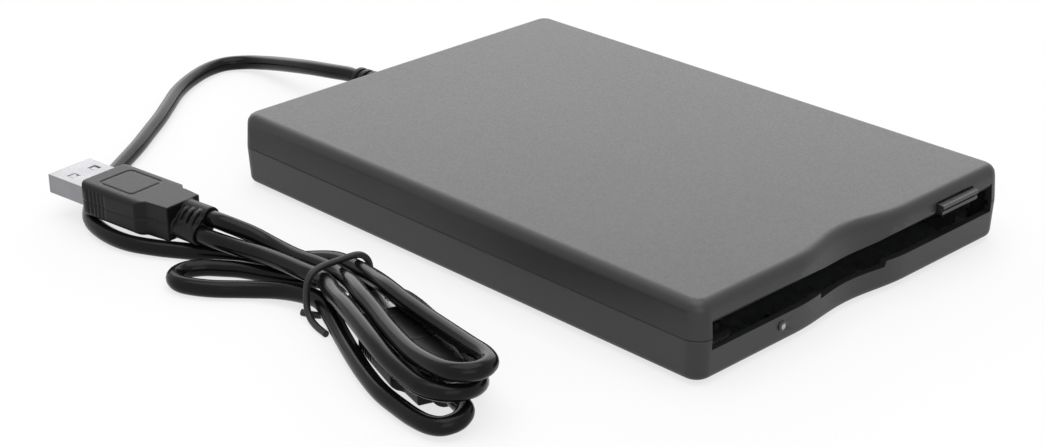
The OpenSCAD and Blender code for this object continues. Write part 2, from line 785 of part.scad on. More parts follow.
switch_y = carrier_front - 2.5;
switch_x = [-(carrier_in - 10.15), carrier_in - 4.15, -(carrier_in - 4.15)];
plunger_r = 0.8;
switch_top = chassis_top + 1.7;
module switch_block() {
    color([0.85, 0.84, 0.80])
        placed()
            difference() {
                union() {
                    box([switch_x[2] - 2.6, switch_x[0] + 2.6], [switch_y - 1.8, switch_y + 1.8], [chassis_top, switch_top]);
                    box([switch_x[1] - 2.6, switch_x[1] + 2.6], [switch_y - 1.8, switch_y + 1.8], [chassis_top, switch_top]);
                }
                for (x = switch_x)
                    rod_z(plunger_r + run_fit, x, switch_y, [chassis_top + 0.3, switch_top + 1]);
            }
}

module plunger(x) {
    color([0.20, 0.35, 0.55])
        placed()
            rod_z(plunger_r, x, switch_y, [chassis_top + 1.4, disk_down_z + 0.8]);
}

board_z = drive_board_top - 0.4;
ribbon_x = [rail_x + 5, rail_x + 18];
usb_board_x = [2, case_w / 2 - 13];
board_x = [usb_board_x[0] + 4, usb_board_x[1] - 3];
board_post_y = case_l / 2 - wall - 5.5;
module usb_board() {
    color([0.10, 0.30, 0.40])
        placed()
            box(usb_board_x, [chassis_back + 1.2, case_l / 2 - wall - 1.4], [board_z, board_z + 1]);
}

module usb_controller() {
    color([0.08, 0.08, 0.09])
        placed() {
            box([usb_board_x[0] + 14, usb_board_x[0] + 22], [chassis_back + 3, chassis_back + 10],
                [board_z + 1, board_z + 2.2]);
            box([usb_board_x[0] + 26, usb_board_x[0] + 30], [chassis_back + 4, chassis_back + 7],
                [board_z + 1, board_z + 1.9]);
        }
}

module cord_connector() {
    color([0.90, 0.89, 0.84])
        placed()
            box([usb_board_x[0] + 2, usb_board_x[0] + 10], [chassis_back + 2, chassis_back + 6],
                [board_z + 1, board_z + 4]);
}

module ribbon_cable() {
    color([0.88, 0.86, 0.76])
        placed()
            box(ribbon_x, [chassis_back - 1.2, chassis_back + 2.4], [board_z + 1, board_z + 1.3]);
}

// ---- Eject mechanism ----

spring_x = carrier_in - 3.35;
spring_z = 8;
spring_d = 3.6;
lug_y = carrier_back + eject_travel + 0.5;
spring_front = lug_y + sheet + eject_over + 0.1;
spring_back = spring_front + 14;
module eject_springs() {
    color([0.70, 0.70, 0.72])
        placed()
            both_sides()
                difference() {
                    rod_y(spring_d / 2, spring_x, [spring_front, spring_back], spring_z);
                    rod_y(spring_d / 2 - 0.45, spring_x, [spring_front - 1, spring_back + 1], spring_z);
                }
}

tongue_w = 7;
tongue_z = [button_z - 0.3, button_z + 0.2];
module lift_slot(y) {
    drop_end = [y + eject_travel, lift_pin_z - carrier_drop];
    rate = carrier_drop / eject_travel;
    top_end = [y - eject_over, lift_pin_z + eject_over * rate];
    r = lift_pin_d / 2 + run_fit;
    length = norm(drop_end - top_end);
    rod_x(r, [-case_w, case_w], drop_end[0], drop_end[1]);
    rod_x(r, [-case_w, case_w], top_end[0], top_end[1]);
    translate([-case_w, top_end[0], top_end[1]])
        rotate([-atan(rate), 0, 0])
            translate([0, 0, -r])
                cube([2 * case_w, length, 2 * r]);
}

module slide_plate() {
    strip_in = carrier_in - 2;
    color([0.76, 0.77, 0.78])
        placed()
            difference() {
                union() {
                    box([-plate_out, plate_out], [plate_front, hub_y + 1], [plate_z, plate_top]);
                    both_sides() {
                        box([strip_in, plate_out], [plate_front, carrier_back], [plate_z, plate_top]);
                        box([plate_in, plate_out], [plate_front, lug_y + sheet], [rail_top - 1.4, plate_top]);
                        // Lug that the eject spring pushes
                        box([spring_x - 2, plate_out], [lug_y, lug_y + sheet], [spring_z - 2, spring_z + 2.4]);
                    }
                    // Cranked tongue that carries the button
                    box([button_x - tongue_w / 2, button_x + tongue_w / 2], [plate_front, plate_front + 1.5],
                        [plate_z, tongue_z[1]]);
                    box([button_x - tongue_w / 2, button_x + tongue_w / 2], [face_y + 3.2, plate_front + 1.5], tongue_z);
                }
                for (y = lift_pins_y)
                    lift_slot(y);
                for (x = [-stator_r, 0, stator_r])
                    rod_z(6, x, hub_y - 22, [plate_z - 1, plate_top + 1]);
            }
}

module eject_button() {
    x = [button_x - button_w / 2, button_x + button_w / 2];
    z = [button_z - button_h / 2, button_z + button_h / 2];
    front = face_y - button_proud;
    color([0.09, 0.09, 0.095])
        placed()
            difference() {
                union() {
                    box(x, [front + 0.7, face_y + 4.4], z);
                    // Two finger ridges with a groove between them
                    box(x, [front, front + 0.8], [button_z + 0.25, z[1] - 0.1]);
                    box(x, [front + 0.2, front + 0.8], [z[0] + 0.1, button_z - 0.25]);
                    box([x[0] + 2, x[1] - 2], [face_y + 4, face_y + 6.4], [z[0] + 0.3, z[1] - 0.3]);
                }
                box([button_x - tongue_w / 2, button_x + tongue_w / 2], [face_y + 3.2, face_y + 8], tongue_z);
            }
}

lever_at = [-(carrier_in - 7.15), disk_back - 17];
lever_r = -lever_at[0] - 17.6;
lever_start = -11;
lever_sweep = 52;
lever_z = [carrier_top + 0.05, carrier_top + 0.35];
lever_pin_r = 1;

module disk_carrier() {
    slot_r = lever_pin_r + 0.3;
    color([0.78, 0.79, 0.80])
        placed()
            difference() {
                union() {
                    box([-carrier_out, carrier_out], [carrier_front, carrier_back], [bay_top, carrier_top]);
                    both_sides() {
                        box([carrier_in, carrier_out], [carrier_front, carrier_back], [rail_top - sheet, carrier_top]);
                        box([rail_in, carrier_out], [carrier_front, carrier_back], [rail_top - sheet, rail_top]);
                        for (y = lift_pins_y)
                            rod_x(lift_pin_d / 2, [carrier_in + 0.1, chassis_out - 0.15], y, lift_pin_z);
                    }
                }
                // Window for the heads, open at the back
                box([-13, 13], [head_y - head_travel - 5, carrier_back + 1], [bay_top - 1, carrier_top + 1]);
                // Curved path of the latch lever's pin
                translate([lever_at[0], lever_at[1], bay_top - 1]) {
                    rotate(lever_start)
                        rotate_extrude(angle = lever_sweep + 20)
                            translate([lever_r - slot_r, 0])
                                square([2 * slot_r, 3]);
                    rotate(lever_start)
                        translate([lever_r, 0, 0])
                            cylinder(r = slot_r, h = 3);
                }
                for (x = [-stator_r - 2, 0, stator_r + 2])
                    rod_z(5, x, hub_y - 20, [bay_top - 1, carrier_top + 1]);
            }
}

rivet_r = 1.5;
module lever_rivet() {
    color([0.80, 0.80, 0.82])
        placed() {
            rod_z(rivet_r, lever_at[0], lever_at[1], [carrier_top, lever_z[1] + 0.1]);
            rod_z(rivet_r + 1, lever_at[0], lever_at[1], [lever_z[1] + 0.05, lever_z[1] + 0.3]);
        }
}

module latch_lever() {
    color([0.74, 0.75, 0.76])
        placed()
            translate([lever_at[0], lever_at[1], 0])
                rotate(lever_start)
                    difference() {
                        union() {
                            rod_z(3, 0, 0, lever_z);
                            rod_z(2, lever_r, 0, lever_z);
                            linear_z(lever_z)
                                polygon([[0, -3], [lever_r, -2], [lever_r, 2], [0, 3]]);
                            rod_z(lever_pin_r, lever_r, 0, [disk_up_z + 1.2, lever_z[1]]);
                        }
                        rod_z(rivet_r + run_fit, 0, 0, [lever_z[0] - 1, lever_z[1] + 1]);
                    }
}

// ---- Cord, tie and plugs, as they lie beside the case ----

// A plug's own frame has +Y out of its mouth and its origin on the front face of the grip
data_plug_at = [-85, 76.6, 8.05];
data_plug_turn = 6.5;
power_plug_at = [-78.5, -13.9, 4];
power_plug_turn = -19.3;
function from_plug(at, turn, p) = at + [p[0] * cos(turn) - p[1] * sin(turn), p[0] * sin(turn) + p[1] * cos(turn), p[2]];

// Two cords leave the data plug one above the other, and one cord enters the power plug
grip_l = 26.5;
data_tail_l = 7;
power_tail_l = 4.5;
socket_l = 2.5;
data_outlets = [[1.6, 1.4], [-1.6, -1.4]];
power_outlets = [[0, 0]];
function data_outlet(k, y) = from_plug(data_plug_at, data_plug_turn, [data_outlets[k][0], y, data_outlets[k][1]]);
function power_outlet(y) = from_plug(power_plug_at, power_plug_turn, [0, y, 0]);
data_tail_y = -grip_l - data_tail_l;
power_tail_y = -grip_l - power_tail_l;

// Centre lines: along the surface, into the folded bundle and round its loops, to the plugs
mouth_y = gland_out_y + body_shift;
mouth_z = split_z + foot_proud;
data_route = concat(
    [[gland_x, mouth_y - 2, mouth_z], [gland_x, mouth_y + 0.5, mouth_z], [gland_x, mouth_y + 4, mouth_z]],
    [[-2.5, 97, 9], [-2.5, 105, 7.8], [-2, 113, 6.2], [-1.5, 120.5, 4.6], [-1.5, 127, 3.2], [-3, 132.5, 2.3],
    [-7.5, 136, 2], [-14, 135.5, 2], [-22, 132, 2], [-29, 127.5, 2], [-36, 121.5, 2], [-43, 115.5, 2],
    [-50, 110, 2], [-57, 104.5, 2], [-64, 99.5, 2], [-71, 94.5, 2], [-78, 89, 2], [-84.5, 83, 2],
    [-89.5, 76, 2], [-91.5, 68, 2], [-91, 60, 2], [-88, 53, 2], [-84, 46.5, 2], [-79.5, 40, 2],
    [-76, 33.5, 2], [-73, 26.5, 2.6], [-71, 20, 4.6], [-70.5, 12.5, 6.8], [-71.2, 5, 7.7], [-73, -2.5, 8.8],
    [-75.5, -10, 10], [-77.5, -18, 10.2], [-79, -26, 10.3], [-80.5, -34, 10.6], [-82.3, -42, 11.2],
    [-83.8, -47.4, 11.9], [-86.2, -51.2, 12.5], [-90, -52.3, 12.8], [-93, -49.6, 12.6], [-93.5, -44.6, 12],
    [-91.7, -35.5, 11], [-88, -25, 10.4], [-84.7, -17, 10.2], [-81.6, -9, 10], [-78.3, -2, 9.2],
    [-75.6, 5, 7.7], [-75, 12.5, 7.2], [-75.2, 20, 6.6], [-75.4, 27, 6.8], [-76.6, 33.4, 8]],
    [data_outlet(0, data_tail_y - 4), data_outlet(0, data_tail_y - 0.5), data_outlet(0, data_tail_y + socket_l)]);
hank_from = 27;
power_route = concat(
    [data_outlet(1, data_tail_y + socket_l), data_outlet(1, data_tail_y - 0.5), data_outlet(1, data_tail_y - 4)],
    [[-80.8, 32.5, 6.4], [-79.7, 26, 6.6], [-79.4, 19, 7], [-79.5, 12, 7.4], [-79.9, 5, 7.9], [-83.3, -2.5, 8.6],
    [-86.3, -9.5, 9.5], [-89.5, -17.5, 9.8], [-92.3, -25, 9.6], [-94.6, -32.5, 9], [-95.9, -40, 8.5],
    [-96, -44.5, 8.4], [-94.3, -48.6, 8.4], [-90.6, -50.3, 8.3], [-86.4, -48.6, 7.4], [-82, -43.2, 5.4],
    [-77.4, -36.9, 3.6], [-73.8, -31, 2.4], [-71, -23.8, 2], [-68.6, -15.6, 2], [-66.8, -8, 2.2],
    [-66.9, -3.4, 2.6], [-69.2, 0.4, 3], [-71, 5, 3.4], [-72.8, 11.5, 3.1], [-75.8, 18, 2.3], [-78.5, 24.5, 2], [-81.5, 31, 2],
    [-84, 34.5, 2], [-86.7, 37.6, 2], [-90.2, 39.4, 2], [-93.6, 38.4, 2], [-94.9, 35.2, 2], [-93.9, 31.8, 2],
    [-91.2, 27.6, 2], [-86.6, 22.6, 2], [-83, 17, 2.5], [-81.2, 11, 3.1], [-80.9, 5, 3.4], [-83.2, -1.5, 2.6],
    [-86.3, -8.5, 2], [-89.8, -16, 2], [-93, -23.5, 2], [-95.6, -31, 2], [-97, -38.5, 2], [-97.6, -43, 2.1],
    [-97.6, -46.9, 2.3], [-96.5, -49.7, 2.7], [-93.7, -50.8, 3.2], [-91, -49.6, 3.8]],
    [power_outlet(power_tail_y - 3), power_outlet(power_tail_y - 0.5), power_outlet(power_tail_y + socket_l)]);
tie_route = [[-86.5, 11, 0.8], [-85, 8.5, 0.9], [-84.2, 6.4, 2], [-83.9, 6, 5], [-83.4, 5.8, 8.6], [-81, 5.6, 10.6],
    [-75.5, 5.4, 10.8], [-70.2, 5.2, 10.4], [-67.8, 5, 8], [-67.7, 4.8, 4], [-68.4, 4.6, 1.6], [-71, 4.5, 0.8],
    [-76, 4.4, 0.7], [-81, 4.2, 0.7], [-84.5, 3, 0.7], [-86.2, 0, 0.8], [-87.6, -5, 0.9]];

function unit(v) = v / norm(v);

// Smooth curve through the points of a route, in equal steps from each point to the next
function smooth(p, steps) = concat(
    [for (i = [0 : len(p) - 2], k = [0 : steps - 1])
        let (a = p[max(i - 1, 0)], b = p[i], c = p[i + 1], d = p[min(i + 2, len(p) - 1)], t = k / steps)
            (2 * b + (c - a) * t + (2 * a - 5 * b + 4 * c - d) * t * t + (3 * b - a - 3 * c + d) * t * t * t) / 2],
    [p[len(p) - 1]]);

// Rings round a centre line, each carried on from the last without twist
function tube_rings(p, r, sides) =
    let (n = len(p), ahead = [for (i = [0 : n - 1]) unit(p[min(i + 1, n - 1)] - p[max(i - 1, 0)])])
    let (across = [for (i = 0, s = unit(cross(ahead[0], [0, 0, 1])); i < n;
        i = i + 1, s = unit(s - ahead[min(i, n - 1)] * (s * ahead[min(i, n - 1)]))) s])
    [for (i = [0 : n - 1])
        let (rise = cross(ahead[i], across[i]))
            [for (j = [0 : sides - 1])
                p[i] + r * (cos(360 * j / sides) * across[i] + sin(360 * j / sides) * rise)]];

// Least gap of a tube to itself, past the points within one bend of each other
function least_gap(p, d, apart) = min([for (i = [0 : len(p) - 1 - apart], j = [i + apart : len(p) - 1])
    norm(p[i] - p[j])]) - d;
function gap_between(p, q, d) = min([for (a = p, b = q) norm(a - b)]) - d;

cord_sides = 8;
tie_sides = 6;
data_line = smooth(data_route, 2);
power_line = smooth(power_route, 2);
tie_line = smooth(tie_route, 2);
data_rings = tube_rings(data_line, cord_d / 2, cord_sides);
echo(data_cord_least_gap = least_gap(data_line, cord_d, 6), power_cord_least_gap = least_gap(power_line, cord_d, 6),
    tie_least_gap = least_gap(tie_line, tie_d, 5), between_cords = gap_between(data_line, power_line, cord_d),
    tie_to_cords = min(gap_between(tie_line, data_line, (tie_d + cord_d) / 2),
        gap_between(tie_line, power_line, (tie_d + cord_d) / 2)));

module data_cord() {
    color([0.07, 0.07, 0.075])
        skin([for (i = [0 : 2 * hank_from]) data_rings[i]]);
}

module data_hank() {
    color([0.07, 0.07, 0.075])
        skin([for (i = [2 * hank_from : len(data_rings) - 1]) data_rings[i]]);
}

module power_hank() {
    color([0.07, 0.07, 0.075])
        skin(tube_rings(power_line, cord_d / 2, cord_sides));
}

module cord_tie() {
    color([0.12, 0.12, 0.13])
        skin(tube_rings(tie_line, tie_d / 2, tie_sides));
}

shell_half = [6, 2.25];
shell_t = 0.3;
shell_seat = 2;
module at_plug(at, turn) {
    translate(at)
        rotate(turn)
            children();
}

module plug_shell() {
    bore = shell_half - [shell_t, shell_t];
    color([0.80, 0.80, 0.82])
        difference() {
            box([-shell_half[0], shell_half[0]], [-shell_seat, plug_shell_l], [-shell_half[1], shell_half[1]]);
            box([-bore[0], bore[0]], [-shell_seat - 1, plug_shell_l + 1], [-bore[1], bore[1]]);
            for (side = [-1, 1])
                box([side * 3 - 1.1, side * 3 + 1.1], [plug_shell_l - 6.4, plug_shell_l - 4.2], [-9, 9]);
        }
}

contact_w = 1;
module plug_contacts() {
    bore = shell_half - [shell_t, shell_t];
    color([0.88, 0.88, 0.86])
        difference() {
            union() {
                box([-bore[0], bore[0]], [-shell_seat, 0.6], [-bore[1], bore[1]]);
                box([-bore[0], bore[0]], [0, plug_shell_l - 0.6], [-bore[1], -0.15]);
            }
            for (x = [-3.5, -1, 1, 3.5])
                box([x - contact_w / 2, x + contact_w / 2], [1.4, plug_shell_l - 1.4], [-0.4, 0]);
        }
}

grip_corner = 2.5;
grip_round = 2;
shoulder_y = -18.4;
grip_grooves = 5;
function grip_side(s) = concat(
    [for (k = [0 : 5]) let (a = 18 * k)
        [s * (plug_grip_w / 2 - grip_corner + grip_corner * sin(a)), grip_corner * (cos(a) - 1)]],
    [[s * (plug_grip_w / 2 - 0.4), shoulder_y], [s * (plug_grip_w / 2 - 2.3), shoulder_y - 1.9],
    [s * (plug_grip_w / 2 - 2.8), -grip_l]]);
module plug_grip(outlets, tail_l) {
    hw = plug_grip_w / 2;
    ht = plug_grip_t / 2;
    side = grip_side(1);
    tail_y = -grip_l - tail_l;
    tail_r = cord_d / 2 + 0.6;
    rib_pitch = (tail_l - 1) / 3;
    color([0.07, 0.07, 0.075])
        difference() {
            union() {
                intersection() {
                    linear_z([-ht, ht])
                        polygon(concat(side, [for (k = [len(side) - 1 : -1 : 0]) [-side[k][0], side[k][1]]]));
                    translate([0, 1, 0])
                        rotate([90, 0, 0])
                            linear_extrude(grip_l + 2)
                                union() {
                                    square([2 * hw, 2 * (ht - grip_round)], center = true);
                                    square([2 * (hw - grip_round), 2 * ht], center = true);
                                    for (x = [-1, 1], z = [-1, 1])
                                        translate([x * (hw - grip_round), z * (ht - grip_round)])
                                            circle(grip_round);
                                }
                }
                // Ribbed tail round the cords
                if (len(outlets) > 1)
                    for (o = outlets)
                        rod_y(tail_r, o[0], [tail_y, -grip_l + 1], o[1]);
                rotate([-90, 0, 0])
                    rotate_extrude()
                        polygon(concat([[0, tail_y], [tail_r, tail_y]],
                            [for (k = [0 : 2])
                                let (y = tail_y + 1 + k * rib_pitch, r = ht - 0.4 - 0.15 * k)
                                    each [[tail_r, y], [r, y], [r, y + 0.55 * rib_pitch], [tail_r, y + 0.55 * rib_pitch]]],
                            [[tail_r, -grip_l + 1], [0, -grip_l + 1]]));
            }
            box([-shell_half[0], shell_half[0]], [-shell_seat, 1], [-shell_half[1], shell_half[1]]);
            for (k = [0 : grip_grooves - 1], s = [-1, 1])
                box([s * hw - 0.35, s * hw + 0.35], [-3.1 - 1.25 * k - 0.6, -3.1 - 1.25 * k], [-ht, ht]);
            for (o = outlets)
                rod_y(cord_d / 2, o[0], [tail_y - 1, tail_y + socket_l], o[1]);
        }
}

module data_plug_shell() {
    at_plug(data_plug_at, data_plug_turn)
        plug_shell();
}

module data_plug_contacts() {
    at_plug(data_plug_at, data_plug_turn)
        plug_contacts();
}

module data_plug_body() {
    at_plug(data_plug_at, data_plug_turn)
        plug_grip(data_outlets, data_tail_l);
}

module power_plug_shell() {
    at_plug(power_plug_at, power_plug_turn)
        plug_shell();
}

module power_plug_contacts() {
    at_plug(power_plug_at, power_plug_turn)
        plug_contacts();
}

module power_plug_body() {
    at_plug(power_plug_at, power_plug_turn)
        plug_grip(power_outlets, power_tail_l);
}

top_cover();
bottom_shell();
rubber_feet();
case_screws();
led_lens();
cable_gland();
drive_chassis();
drive_cover();
chassis_screws();
stator_board();
stator_coils();
spindle_bearing();
guide_rod();
rail_bracket();
stepper_motor();
drive_board();
track_sensor();
switch_block();
usb_board();
usb_controller();
cord_connector();
ribbon_cable();
eject_springs();
slide_plate();
eject_button();
disk_carrier();
lever_rivet();
latch_lever();
spindle_rotor();
hub_table();
drive_pin();
head_carriage();
lower_head();
arm_pin();
upper_head_arm();
upper_head();
lead_screw();
plunger(switch_x[0]);  // disk_switch_plunger
plunger(switch_x[1]);  // density_switch_plunger
plunger(switch_x[2]);  // protect_switch_plunger
data_cord();
data_hank();
power_hank();
cord_tie();
data_plug_shell();
data_plug_contacts();
data_plug_body();
power_plug_shell();
power_plug_contacts();
power_plug_body();
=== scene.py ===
import json
import math

import bpy
from bpy.props import FloatProperty, FloatVectorProperty, IntProperty, PointerProperty
from mathutils import Matrix, Vector


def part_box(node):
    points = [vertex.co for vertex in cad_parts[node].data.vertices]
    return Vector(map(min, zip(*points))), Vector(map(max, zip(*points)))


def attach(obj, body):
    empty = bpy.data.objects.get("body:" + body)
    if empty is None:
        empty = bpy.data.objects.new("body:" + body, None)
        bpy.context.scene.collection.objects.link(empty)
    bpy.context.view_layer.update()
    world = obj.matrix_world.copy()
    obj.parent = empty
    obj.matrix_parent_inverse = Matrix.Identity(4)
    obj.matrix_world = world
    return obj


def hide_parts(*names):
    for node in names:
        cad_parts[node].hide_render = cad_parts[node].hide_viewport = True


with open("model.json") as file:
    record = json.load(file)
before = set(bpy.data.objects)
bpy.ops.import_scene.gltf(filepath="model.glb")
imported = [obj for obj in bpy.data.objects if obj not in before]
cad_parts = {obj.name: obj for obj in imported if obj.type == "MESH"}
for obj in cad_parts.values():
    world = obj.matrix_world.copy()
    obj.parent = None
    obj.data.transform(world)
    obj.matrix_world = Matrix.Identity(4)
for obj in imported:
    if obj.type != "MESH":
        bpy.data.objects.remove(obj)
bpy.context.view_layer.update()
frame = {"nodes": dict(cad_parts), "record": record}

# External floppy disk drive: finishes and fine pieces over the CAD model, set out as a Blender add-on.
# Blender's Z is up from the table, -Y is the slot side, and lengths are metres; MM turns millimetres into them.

bl_info = {
    "name": "External Floppy Drive",
    "version": (1, 0, 0),
    "blender": (4, 5, 0),
    "location": "View3D > Sidebar > Floppy Drive",
    "description": "Finishes, cords, plugs and studio for the external floppy drive model",
    "category": "Object",
}

MM = 0.001
# A CAD node's mesh is loose triangles: points this near are one, and faces this near to level are one face
WELD, LEVEL = 0.004 * MM, math.radians(0.4)
BODY_OF = {n: body for body, names in frame["record"]["behaviour"]["bodies"].items() for n in names}
SLOT_OF = {part["node"]: part["material_slot"] for part in frame["record"]["subparts"]}


# ---- Sizes and colours a user may change ----

def linear(code):
    """sRGB hex colour as linear RGBA."""
    parts = [int(code[i:i + 2], 16) / 255 for i in (1, 3, 5)]
    return tuple(c / 12.92 if c <= 0.04045 else ((c + 0.055) / 1.055) ** 2.4 for c in parts) + (1.0,)


class FloppyCaseSettings(bpy.types.PropertyGroup):
    """Finish of the moulded case"""
    shell_colour: FloatVectorProperty(
        name="Case Colour", description="Colour of the moulded ABS halves", subtype="COLOR", size=4,
        min=0, max=1, default=linear("#1f1f20"))
    grain: FloatProperty(
        name="Mould Grain", description="Width of one pit of the etched mould texture", unit="LENGTH",
        default=0.45 * MM, min=0.1 * MM, max=2 * MM)
    edge: FloatProperty(
        name="Edge Rounding", description="Radius that the mould leaves on sharp edges", unit="LENGTH",
        default=0.18 * MM, min=0.02 * MM, max=0.4 * MM)


class FloppyCordSettings(bpy.types.PropertyGroup):
    """Cord, tie and plugs"""
    diameter: FloatProperty(
        name="Cord Diameter", description="Outer diameter of the cord's jacket", unit="LENGTH",
        default=3.8 * MM, min=3.4 * MM, max=3.9 * MM)
    tie_diameter: FloatProperty(
        name="Tie Diameter", description="Outer diameter of the coated tie wire", unit="LENGTH",
        default=1.45 * MM, min=1 * MM, max=1.5 * MM)
    jacket_colour: FloatVectorProperty(
        name="Jacket Colour", description="Colour of the PVC jacket and plug grips", subtype="COLOR", size=4,
        min=0, max=1, default=linear("#0f0f10"))
    spring_turns: IntProperty(
        name="Spring Turns", description="Turns of each eject spring", default=11, min=6, max=18)


class FloppyStageSettings(bpy.types.PropertyGroup):
    """Studio round the drive"""
    back_light: FloatProperty(
        name="Back Light", description="Power of the soft box behind the drive", default=4.8, min=0, max=60)
    top_light: FloatProperty(
        name="Top Light", description="Power of the soft box overhead", default=5.2, min=0, max=60)
    side_light: FloatProperty(
        name="Side Light", description="Power of the soft box by the camera", default=1.2, min=0, max=60)
    floor_white: FloatProperty(
        name="Floor White", description="How much of the floor's white is kept where a shadow falls",
        subtype="FACTOR", default=0.72, min=0, max=1)


# ---- Small tools for making pieces ----

def clear_selection():
    """Leaves edit mode and deselects everything, because an operator acts on all that is selected."""
    if bpy.context.object and bpy.context.object.mode != "OBJECT":
        bpy.ops.object.mode_set(mode="OBJECT")
    bpy.ops.object.select_all(action="DESELECT")


def take(piece):
    """Makes one piece the selected and active one."""
    clear_selection()
    bpy.context.view_layer.objects.active = piece
    piece.select_set(True)


def settle(piece, name):
    """Names a piece and puts its place in its mesh, as a CAD node's is."""
    piece.name = name
    piece.data.name = name
    take(piece)
    bpy.ops.object.transform_apply(location=True, rotation=True, scale=True)
    return piece


def finish_with(piece, kind, **settings):
    """Adds one modifier and applies it."""
    take(piece)
    modifier = piece.modifiers.new(kind.title(), kind)
    for key, value in settings.items():
        setattr(modifier, key, value)
    bpy.ops.object.modifier_apply(modifier=modifier.name)


def round_edges(piece, width, segments=2, angle=35):
    """Bevels every edge sharper than the angle, and shades the rest smooth."""
    finish_with(piece, "BEVEL", width=width, segments=segments, limit_method="ANGLE",
                angle_limit=math.radians(angle), use_clamp_overlap=True)
    take(piece)
    bpy.ops.object.shade_smooth_by_angle(angle=math.radians(angle))
    # Large flat faces keep their own normal beside a fillet
    finish_with(piece, "WEIGHTED_NORMAL", keep_sharp=True, weight=100)


def dress(piece, material, node_name):
    """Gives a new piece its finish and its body."""
    piece.data.materials.clear()
    piece.data.materials.append(material)
    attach(piece, BODY_OF[node_name])


def refine(node_name, name, material, edge, angle=35, segments=2):
    """Copy of a CAD node, merged to whole faces. Its edges are rounded by edge, or less where faces are narrow."""
    source = frame["nodes"][node_name]
    piece = source.copy()
    piece.data = source.data.copy()
    piece.parent = None
    for key in list(piece.keys()):
        del piece[key]
    bpy.context.scene.collection.objects.link(piece)
    settle(piece, name)
    bpy.ops.object.mode_set(mode="EDIT")
    bpy.ops.mesh.select_all(action="SELECT")
    bpy.ops.mesh.remove_doubles(threshold=WELD)
    bpy.ops.mesh.dissolve_limited(angle_limit=LEVEL)
    bpy.ops.mesh.vert_connect_concave()
    bpy.ops.object.mode_set(mode="OBJECT")
    round_edges(piece, edge, segments, angle)
    dress(piece, material, node_name)
    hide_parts(node_name)
    return piece


def block(name, size, at, edge, segments):
    """Small box with rounded edges. Size, place and edge are in millimetres."""
    clear_selection()
    bpy.ops.mesh.primitive_cube_add(size=1, location=[c * MM for c in at])
    piece = bpy.context.object
    piece.scale = [c * MM for c in size]
    settle(piece, name)
    round_edges(piece, edge * MM, segments)
    return piece


def join_pieces(pieces, name):
    """Makes several pieces one."""
    clear_selection()
    for piece in pieces:
        piece.select_set(True)
    bpy.context.view_layer.objects.active = pieces[0]
    bpy.ops.object.join()
    return settle(bpy.context.object, name)


def smooth_route(points, steps):
    """Smooth curve through given points, each in metres."""
    line = []
    last = len(points) - 1
    for i in range(last):
        a, b, c, d = (Vector(points[k]) for k in (max(i - 1, 0), i, i + 1, min(i + 2, last)))
        for k in range(steps):
            t = k / steps
            line.append((2 * b + (c - a) * t + (2 * a - 5 * b + 4 * c - d) * t * t
                         + (3 * b - a - 3 * c + d) * t ** 3) / 2)
    return line + [Vector(points[last])]


def round_cord(name, line, radius, around=6):
    """Curve of one open spline along a line, with a round section and closed ends."""
    curve = bpy.data.curves.new(name, "CURVE")
    curve.dimensions = "3D"
    curve.bevel_depth = radius
    curve.bevel_resolution = around
    curve.use_fill_caps = True
    spline = curve.splines.new("POLY")
    spline.points.add(len(line) - 1)
    for point, place in zip(spline.points, line):
        point.co = (*place, 1)
    spline.use_smooth = True
    piece = bpy.data.objects.new(name, curve)
    bpy.context.scene.collection.objects.link(piece)
    return piece


# ---- Materials ----

def add_node(tree, kind, inputs=None, **settings):
    """Adds one node with its settings; an input given as a socket is linked, and any other is set."""
    made = tree.nodes.new(kind)
    for key, value in settings.items():
        setattr(made, key, value)
    for key, value in (inputs or {}).items():
        if isinstance(value, bpy.types.NodeSocket):
            tree.links.new(value, made.inputs[key])
        else:
            made.inputs[key].default_value = value
    return made


def blank(name):
    """New material with an empty node tree, and that tree."""
    material = bpy.data.materials.new(name)
    material.use_nodes = True
    material.node_tree.nodes.clear()
    return material, material.node_tree


def finished(material, tree, surface):
    """Joins a shader to the material's output."""
    add_node(tree, "ShaderNodeOutputMaterial", {"Surface": surface})
    material.diffuse_color = (0.1, 0.1, 0.1, 1)
    return material


def shade_of(colour, factor):
    """A linear colour made darker or lighter."""
    return tuple(c * factor for c in colour[:3]) + (1.0,)


def etched_plastic(name, colour, grain, roughness=0.42, bump=0.10, patch=0.10, specular=0.5):
    """Moulded ABS or nylon: even colour, fine etched grain that breaks up the gloss, faint cloudy sheen."""
    material, tree = blank(name)
    place = add_node(tree, "ShaderNodeTexCoord").outputs["Object"]
    pits = add_node(tree, "ShaderNodeTexNoise", {
        "Vector": place, "Scale": 1 / grain, "Detail": 3.0, "Roughness": 0.6})
    cloud = add_node(tree, "ShaderNodeTexNoise", {"Vector": place, "Scale": 1 / (22 * MM), "Detail": 4.0})
    ramp = add_node(tree, "ShaderNodeValToRGB", {"Fac": cloud.outputs["Fac"]})
    ramp.color_ramp.elements[0].position = 0.35
    ramp.color_ramp.elements[1].position = 0.65
    ramp.color_ramp.elements[0].color = shade_of(colour, 1 - patch)
    ramp.color_ramp.elements[1].color = shade_of(colour, 1 + patch)
    gloss = add_node(tree, "ShaderNodeMapRange", {"Value": pits.outputs["Fac"], "From Min": 0.3, "From Max": 0.7,
                                                  "To Min": roughness - 0.05, "To Max": roughness + 0.06})
    relief = add_node(tree, "ShaderNodeBump", {
        "Height": pits.outputs["Fac"], "Strength": bump, "Distance": 0.05 * MM})
    surface = add_node(tree, "ShaderNodeBsdfPrincipled", {
        "Base Color": ramp.outputs["Color"], "Roughness": gloss.outputs["Result"],
        "Normal": relief.outputs["Normal"], "IOR": 1.53, "Specular IOR Level": specular})
    return finished(material, tree, surface.outputs["BSDF"])


